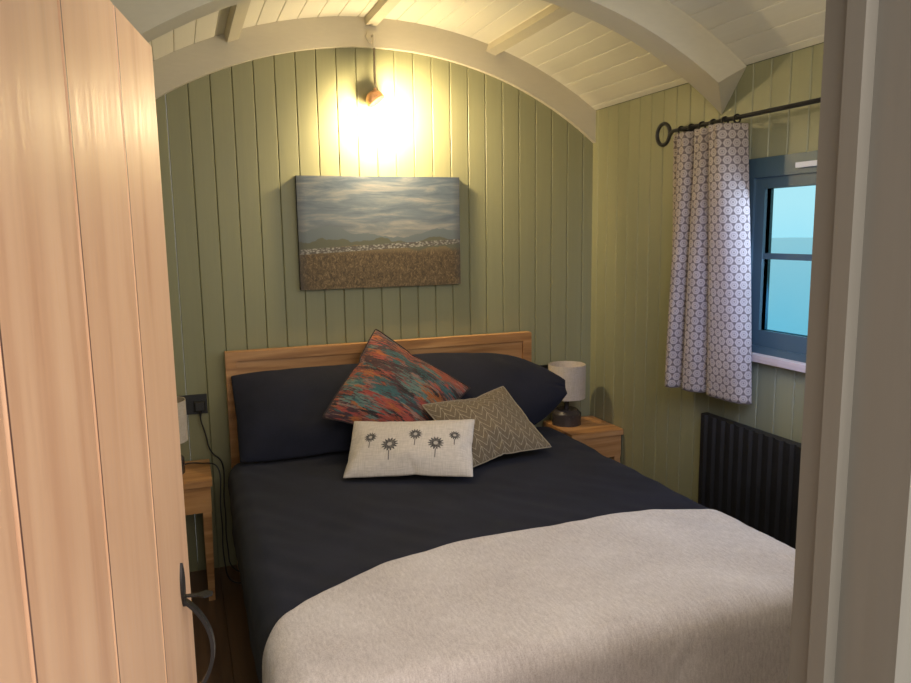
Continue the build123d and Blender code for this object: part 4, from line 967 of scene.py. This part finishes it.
def on_point(p, width, height):
    """A square cushion stood on a corner: its two side ears hang."""
    roll = math.radians(DABBED_ANGLES[2])
    side = (p.x * math.cos(roll) + p.z * math.sin(roll)) / (width * math.sqrt(0.5))
    hang = (0.036 if side > 0 else 0.058) * max(abs(side) - 0.25, 0) ** 1.7 / 0.75**1.7
    p.x += hang * math.sin(roll)
    p.z -= hang * math.cos(roll)
    return p


def bedding_cushions():
    for name, side, angles, seed, shape in (
        ("pillow_left", -1, (0, 42, 0), 3, slumped), ("pillow_right", 1, (-10, 42, 4), 8, drooped)
    ):
        scatter(name, "pillows", (0.735, 0.445, 0.140), angles, NAVY, 5.0, seed, 0.02, shape, 0.12, side)
    rim = scatter(
        "cushion_dabbed", "cushion_patterned", (0.48, 0.48, 0.120), DABBED_ANGLES, DABBED, 6.0, 5, 0.01, on_point
    )
    piping("cushion_dabbed_piping", rim, 0.0028, PIPING)
    rim = scatter("cushion_veined", "cushion_leaf", (0.42, 0.38, 0.110), (4, 58, -7), LEAF, 6.0, 6, 0.008)
    piping("cushion_veined_piping", rim, 0.0024, LEAF)
    scatter("cushion_seedheads", "cushion_lumbar", (0.50, 0.30, 0.095), (-26, 57, -2), LINEN, 6.0, 7, 0.006)


bedding_cushions()


def grid_cloth(name, across, along, at, material, flat_at):
    """A grid of cloth: at(s, t) gives each point's place and flat_at its place on the flat cut."""
    places = [(i / across, j / along) for j in range(along + 1) for i in range(across + 1)]
    verts, uvs = [at(*p) for p in places], [flat_at(*p) for p in places]
    return make(name, verts, grid_faces(across, along), material, True, uvs=uvs)


def rounded_block(name, low, high, radius, material=None, body=None):
    verts = [(x, y, z) for x in (low[0], high[0]) for y in (low[1], high[1]) for z in (low[2], high[2])]
    faces = [[0, 1, 3, 2], [4, 6, 7, 5], [0, 4, 5, 1], [2, 3, 7, 6], [0, 2, 6, 4], [1, 5, 7, 3]]
    block = make(name, verts, faces, material, True, body)
    return modified(block, "BEVEL", width=radius, segments=5, limit_method="ANGLE", angle_limit=math.radians(30))


def collider(obj, thickness=0.002):
    obj.modifiers.new("collision", "COLLISION")
    obj.collision.thickness_outer = thickness
    obj.collision.cloth_friction = 12


# The quilt's lying part: half its width, its top over the floor boards, and where it starts and ends.
DUVET_HALF, DUVET_TOP, DUVET_HEAD, DUVET_END = 0.744, 0.567, 0.250, 2.003


def creased(obj):
    """Soft swells and slanting creases pressed into the quilt, deeper down its sides."""
    places = []
    for v in obj.data.vertices:
        x, y, z = v.co
        side = clamp((abs(x) - 0.50) / 0.20)
        clear = clamp((END_Y - y - 0.70) / 0.40)
        slant = Vector((x + z, y, 0))
        across = slant.x * 0.80 + slant.y * 0.60
        down = -slant.x * 0.60 + slant.y * 0.80
        ridge = 1 - 2 * abs(noise.noise(Vector((across * 11, down * 3.2, 4.0))))
        fine = noise.noise(Vector((across * 24, down * 6, 9.0)))
        rise = (0.0012 + 0.0045 * max(side, clear * 0.45)) * ridge + 0.0016 * max(side, clear * 0.5) * fine
        rise += 0.008 * clear * noise.noise(Vector((x * 2.4, y * 2.4, 1.0)))
        hang = clamp((FLOOR + DUVET_TOP - z) / 0.20)
        bulge = 0.016 * math.sin(math.pi * min(hang, 0.8)) * (1 if x < 0 else 0.3) * (abs(x) > 0.70)
        places.append(v.co + v.normal * rise + Vector((math.copysign(bulge, x), 0, 0)))
    for v, place in zip(obj.data.vertices, places):
        v.co = place
    obj.data.update()


def duvet():
    """A padded quilt draped over mattress and frame, its sides and foot hanging. Gives a copy of its outside."""
    drop, foot_drop = 0.262, 0.235
    flat_half = DUVET_HALF + drop
    length = DUVET_END + foot_drop - DUVET_HEAD
    obj = grid_cloth(
        "duvet_quilt", 96, 84,
        lambda s, t: P(-flat_half + 2 * flat_half * s, DUVET_HEAD + length * t, DUVET_TOP + 0.012),
        NAVY,
        lambda s, t: (2 * flat_half * s, length * t),
    )
    inside = DUVET_HALF - 0.003
    block = rounded_block("duvet_form", P(-inside, DUVET_END - 0.003, 0.1), P(inside, 0.2, DUVET_TOP), 0.045)
    drift = Vector((random.Random(11).uniform(0, 9), 2.0, 3.0))
    for v in obj.data.vertices:
        v.co.z += 0.012 * noise.noise(v.co * 3.2 + drift) + 0.006 * noise.noise(v.co * 8 + drift)
    collider(block)
    simulate(obj, 46, 0.5, 18, 4.0, -0.022, 5)
    creased(obj)
    bpy.data.objects.remove(block)
    group = obj.vertex_groups.new(name="fill")
    for v in obj.data.vertices:
        thin = clamp((END_Y - v.co.y - (DUVET_END - 0.06)) / 0.05)
        group.add([v.index], 1 - 0.86 * thin, "REPLACE")
    outer = obj.copy()
    outer.data = obj.data.copy()
    outer.name = "duvet_outside"
    scene.collection.objects.link(outer)
    modified(obj, "SOLIDIFY", thickness=0.038, offset=-1, vertex_group="fill", thickness_vertex_group=0.0)
    subdivided(obj)
    obj.vertex_groups.clear()
    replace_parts(obj, "duvet")
    return outer


# Points (X on the flat cut, along) of the throw's edge nearest the pillows.
BACK_EDGE = (
    (-1.10, 1.85), (-0.77, 1.68), (-0.60, 1.56), (-0.383, 1.45), (-0.15, 1.40), (0.084, 1.39), (0.35, 1.385),
    (0.512, 1.395), (0.60, 1.43), (0.78, 1.52), (1.10, 1.57),
)
THROW_HALF, THROW_END = 0.7525, 2.011
THROW_DROPS = (0.315, 0.300, 0.215)  # left, right and foot
THROW_GRID = (110, 44)


def back_edge(x):
    """How far along the throw's edge lies across the bed, for a place on its flat cut."""
    for (x0, a0), (x1, a1) in pairs(BACK_EDGE):
        if x0 <= x <= x1:
            t = (x - x0) / (x1 - x0)
            t = t * t * (3 - 2 * t) * 0.35 + t * 0.65
            return a0 + (a1 - a0) * t


def throw(under):
    """A felted wool throw laid over the foot of the bed, its back edge bowed. Its lying part keeps to the
    quilt under it and its drops are simulated."""
    low, high = -THROW_HALF - THROW_DROPS[0], THROW_HALF + THROW_DROPS[1]

    def flat_at(s, t):
        u = low + (high - low) * s
        begin = back_edge(u)
        return (u, begin + (THROW_END + THROW_DROPS[2] - begin) * t)

    obj = grid_cloth("throw_blanket", *THROW_GRID, lambda s, t: P(*flat_at(s, t), 0.5925), WOOL, flat_at)
    tree = BVHTree.FromPolygons([v.co for v in under.data.vertices], [p.vertices for p in under.data.polygons])
    lying = obj.vertex_groups.new(name="lying")
    for v in obj.data.vertices:
        along = END_Y - v.co.y
        above = Vector((clamp(v.co.x, -0.70, 0.70), END_Y - min(along, 1.955), 1.4))
        v.co.z = tree.ray_cast(above, Vector((0, 0, -1)))[0].z + 0.0065
        if abs(v.co.x) < 0.665 and along < 1.925:
            lying.add([v.index], 1.0, "REPLACE")
    collider(under, 0.003)
    simulate(obj, 44, 0.5, 20, 2.0, -0.008, 6, pin="lying")
    obj.vertex_groups.clear()
    across, along = THROW_GRID
    hems = [[obj.data.vertices[j * (across + 1) + i].co.copy() for j in range(along + 1)] for i in (0, across)]
    modified(obj, "SOLIDIFY", thickness=0.0035, offset=1)
    subdivided(obj)
    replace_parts(obj, "throw")
    bpy.data.objects.remove(under)
    return fringe(hems)


def fringe(hems):
    """Twisted strands hanging from the throw's two woven ends."""
    rng = random.Random(21)
    rings, sides = 5, 6
    verts, faces = [], []
    for side, hem in zip((-1, 1), hems):
        for a, b in pairs(hem):
            for share in (0.25, 0.75):
                root = a.lerp(b, share) + Vector((side * 0.0015, 0, 0.002))
                lean = Vector((rng.uniform(0, 0.05) * side, rng.uniform(-0.12, 0.12), -1)).normalized()
                length = rng.uniform(0.034, 0.042)
                start = len(verts)
                for ring in range(rings):
                    t = ring / (rings - 1)
                    centre = root + lean * length * t + Vector((0, 0.0012 * math.sin(5 * t + root.y * 90), 0))
                    radius = 0.0016 * (1 + 0.25 * math.sin(t * 9)) * (1 if t < 1 else 0.6)
                    for k in range(sides):
                        turn = math.pi / 3 * k + t * 4
                        verts.append(centre + Vector((math.cos(turn), math.sin(turn), 0)) * radius)
                for p in range(start, start + (rings - 1) * sides, sides):
                    for k in range(sides):
                        after = (k + 1) % sides
                        faces.append([p + k, p + after, p + sides + after, p + sides + k])
                tip = start + (rings - 1) * sides
                faces += [list(range(start + sides - 1, start - 1, -1)), list(range(tip, tip + sides))]
    return make("throw_fringe", verts, faces, WOOL, True)


FRINGE = throw(duvet())


def mattress():
    block = rounded_block(
        "mattress_sheeted", P(-0.673, 1.970, 0.300), P(0.673, 0.074, 0.530), 0.035, NAVY_SHEET, "hut"
    )
    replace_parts(block, "mattress")


mattress()

# A curtain's folds: the cloth in each, and its share of the curtain's width at the heading and at the hem.
FOLDS = (
    (0.125, 0.115, 0.085), (0.222, 0.290, 0.140), (0.222, 0.285, 0.270), (0.275, 0.310, 0.505)
)
CURTAIN_TOP, CURTAIN_FOOT, CURTAIN_ROWS = 1.869, 0.853, 64
HEADING_WIDTH, HEM_WIDTH = 0.376, 0.446


def fold_line(width, cloth, steps=48):
    """Points (across, depth) of one fold of a width whose line is as long as the cloth in it."""
    low, high = 0.0, cloth
    for _ in range(18):
        depth = (low + high) / 2
        places = [t / steps for t in range(steps + 1)]
        points = [(width * t, depth * (1 - abs(2 * t - 1) ** 3.2) ** 0.6) for t in places]
        if sum(math.dist(a, b) for a, b in pairs(points)) > cloth:
            high = depth
        else:
            low = depth
    return points, depth


def along_line(points, share):
    """The point at a share of a line's length."""
    runs = [math.dist(a, b) for a, b in pairs(points)]
    left = share * sum(runs)
    for (a, b), run in zip(pairs(points), runs):
        if left <= run:
            t = left / run
            return a[0] + (b[0] - a[0]) * t, a[1] + (b[1] - a[1]) * t
        left -= run
    return points[-1]


def curtain(name, start, direction, seed, node):
    """A lined curtain: broad folds with deep narrow creases, pinched into flutes at its heading."""
    rng = random.Random(seed)
    _, sway, swell = [rng.uniform(0, 6.28) for _ in range(3)]
    verts, uvs = [], []
    for j in range(CURTAIN_ROWS + 1):
        fall = j / CURTAIN_ROWS
        loose = min(fall * 3, 1)
        z = CURTAIN_TOP + (CURTAIN_FOOT - CURTAIN_TOP) * fall
        width = HEADING_WIDTH + (HEM_WIDTH - HEADING_WIDTH) * fall
        flute = 0.0050 * max(0.0, 1 - (CURTAIN_TOP - z) / 0.12)
        edge, flat = start + direction * (-0.006 + 0.010 * fall), 0.0
        for k, (cloth, above, below) in enumerate(FOLDS):
            fold = width * (above + (below - above) * fall)
            points, depth = fold_line(fold, cloth)
            count = int(round(cloth / 0.0034))
            for i in range(count + (k == len(FOLDS) - 1)):
                u = i / count
                across, out = along_line(points, u)
                broad = out / max(depth, 1e-6)
                out += flute * math.cos(2 * math.pi * across / fold * (2 if k == 0 else 3)) * broad
                out += 0.004 * math.sin(7 * u + 3 * fall + sway + k) * broad * loose
                out += 0.003 * math.sin(4.5 * fall + swell + 2 * k) * loose - 0.032
                verts.append(P(1.025 - out, edge + direction * across, z))
                uvs.append((flat + cloth * u, z))
            edge += direction * fold
            flat += cloth
    faces = grid_faces(len(verts) // (CURTAIN_ROWS + 1) - 1, CURTAIN_ROWS)
    obj = make(name, verts, faces, CURTAIN, True, uvs=uvs)
    modified(obj, "SOLIDIFY", thickness=0.0016, offset=0)
    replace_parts(obj, node)


curtain("curtain_back", 0.797, 1, 4, "curtain_rear")
curtain("curtain_near", 2.237, -1, 9, "curtain_front")


# ---- lamps, world and floor
WARM, DAYLIGHT = (1, 0.79, 0.47), (0.45, 0.62, 1.0)


def lamp(kind, name, place, look, power, colour, **settings):
    data = bpy.data.lights.new(name, kind)
    data.energy = power
    data.color = colour
    for key, value in settings.items():
        setattr(data, key, value)
    obj = placed(name, data)
    obj.location = place
    obj.rotation_euler = (look - place).to_track_quat("-Z", "Y").to_euler()
    obj.visible_transmission = False
    if kind == "AREA":
        obj.visible_camera = False
        obj.visible_glossy = name not in ("window_light", "sill_light")


def lights():
    wide = {"shape": "RECTANGLE", "size_y": 0.6}
    lamp("AREA", "room_light", P(0.1, 2.45, 1.95), P(0, 0.4, 0.6), 13, (1, 0.93, 0.82), size=1.3, **wide)
    lamp("AREA", "bow_light", P(0, 1.45, 2.22), P(0, 1.3, 0.4), 3, (1, 0.88, 0.68), size=0.9, **wide)
    wide["size_y"] = 0.5
    lamp("AREA", "window_light", P(1.08, 1.517, 1.40), P(-0.6, 1.3, 0.9), 9, DAYLIGHT, size=0.62, **wide)
    lamp(
        "AREA", "sill_light", P(0.60, 1.92, 1.40), P(1.05, 1.34, 1.22), 2.6, (0.26, 0.39, 1.0),
        size=0.5, spread=math.radians(80),
    )
    lamp(
        "SPOT", "reading_light", P(0, 0.165, 2.02), P(0.03, 0, 1.96), 40, WARM,
        spot_size=math.radians(170), spot_blend=0.5, shadow_soft_size=0.035,
    )
    lamp("POINT", "reading_glow", P(0, 0.12, 1.985), P(0, 0, 1.985), 15, WARM, shadow_soft_size=0.03)
    lamp("AREA", "bay_light", P(-0.6, 3.9, 1.8), P(-0.3, 2.5, 1.2), 26, (1, 0.90, 0.86), size=1.6)


lights()


def surroundings():
    """A white world to look at and reflect, at half strength as light, over a pale floor, and a broad sun."""
    n = Nodes("studio", bpy.data.worlds, "Background")
    rays = [n.add("LightPath", (), f"Is {kind} Ray") for kind in ("Camera", "Transmission", "Glossy")]
    scene.world = n.end(Color=(1, 1, 1), Strength=n.remap(n.largest(*rays), 0, 1, 0.50, 1.0))
    n = Nodes("studio_floor")
    speck = n.specks(3, 2)
    pale = n.ramp(speck, [(0.3, (0.80, 0.80, 0.79)), (0.7, (0.83, 0.83, 0.82))])
    corners = [(-90, -90, 0), (90, -90, 0), (90, 90, 0), (-90, 90, 0)]
    finish = n.finish(pale, 0.9, n.bump(speck, 0.02))
    make("studio_ground", corners, [[0, 1, 2, 3]], finish, body=None)
    sun = bpy.data.lights.new("studio_sun", "SUN")
    sun.energy = 1.6
    sun.angle = math.radians(50)
    obj = placed("studio_sun", sun)
    obj.rotation_euler = (math.radians(42), math.radians(-18), math.radians(30))
    scene.view_settings.view_transform = "Standard"


surroundings()
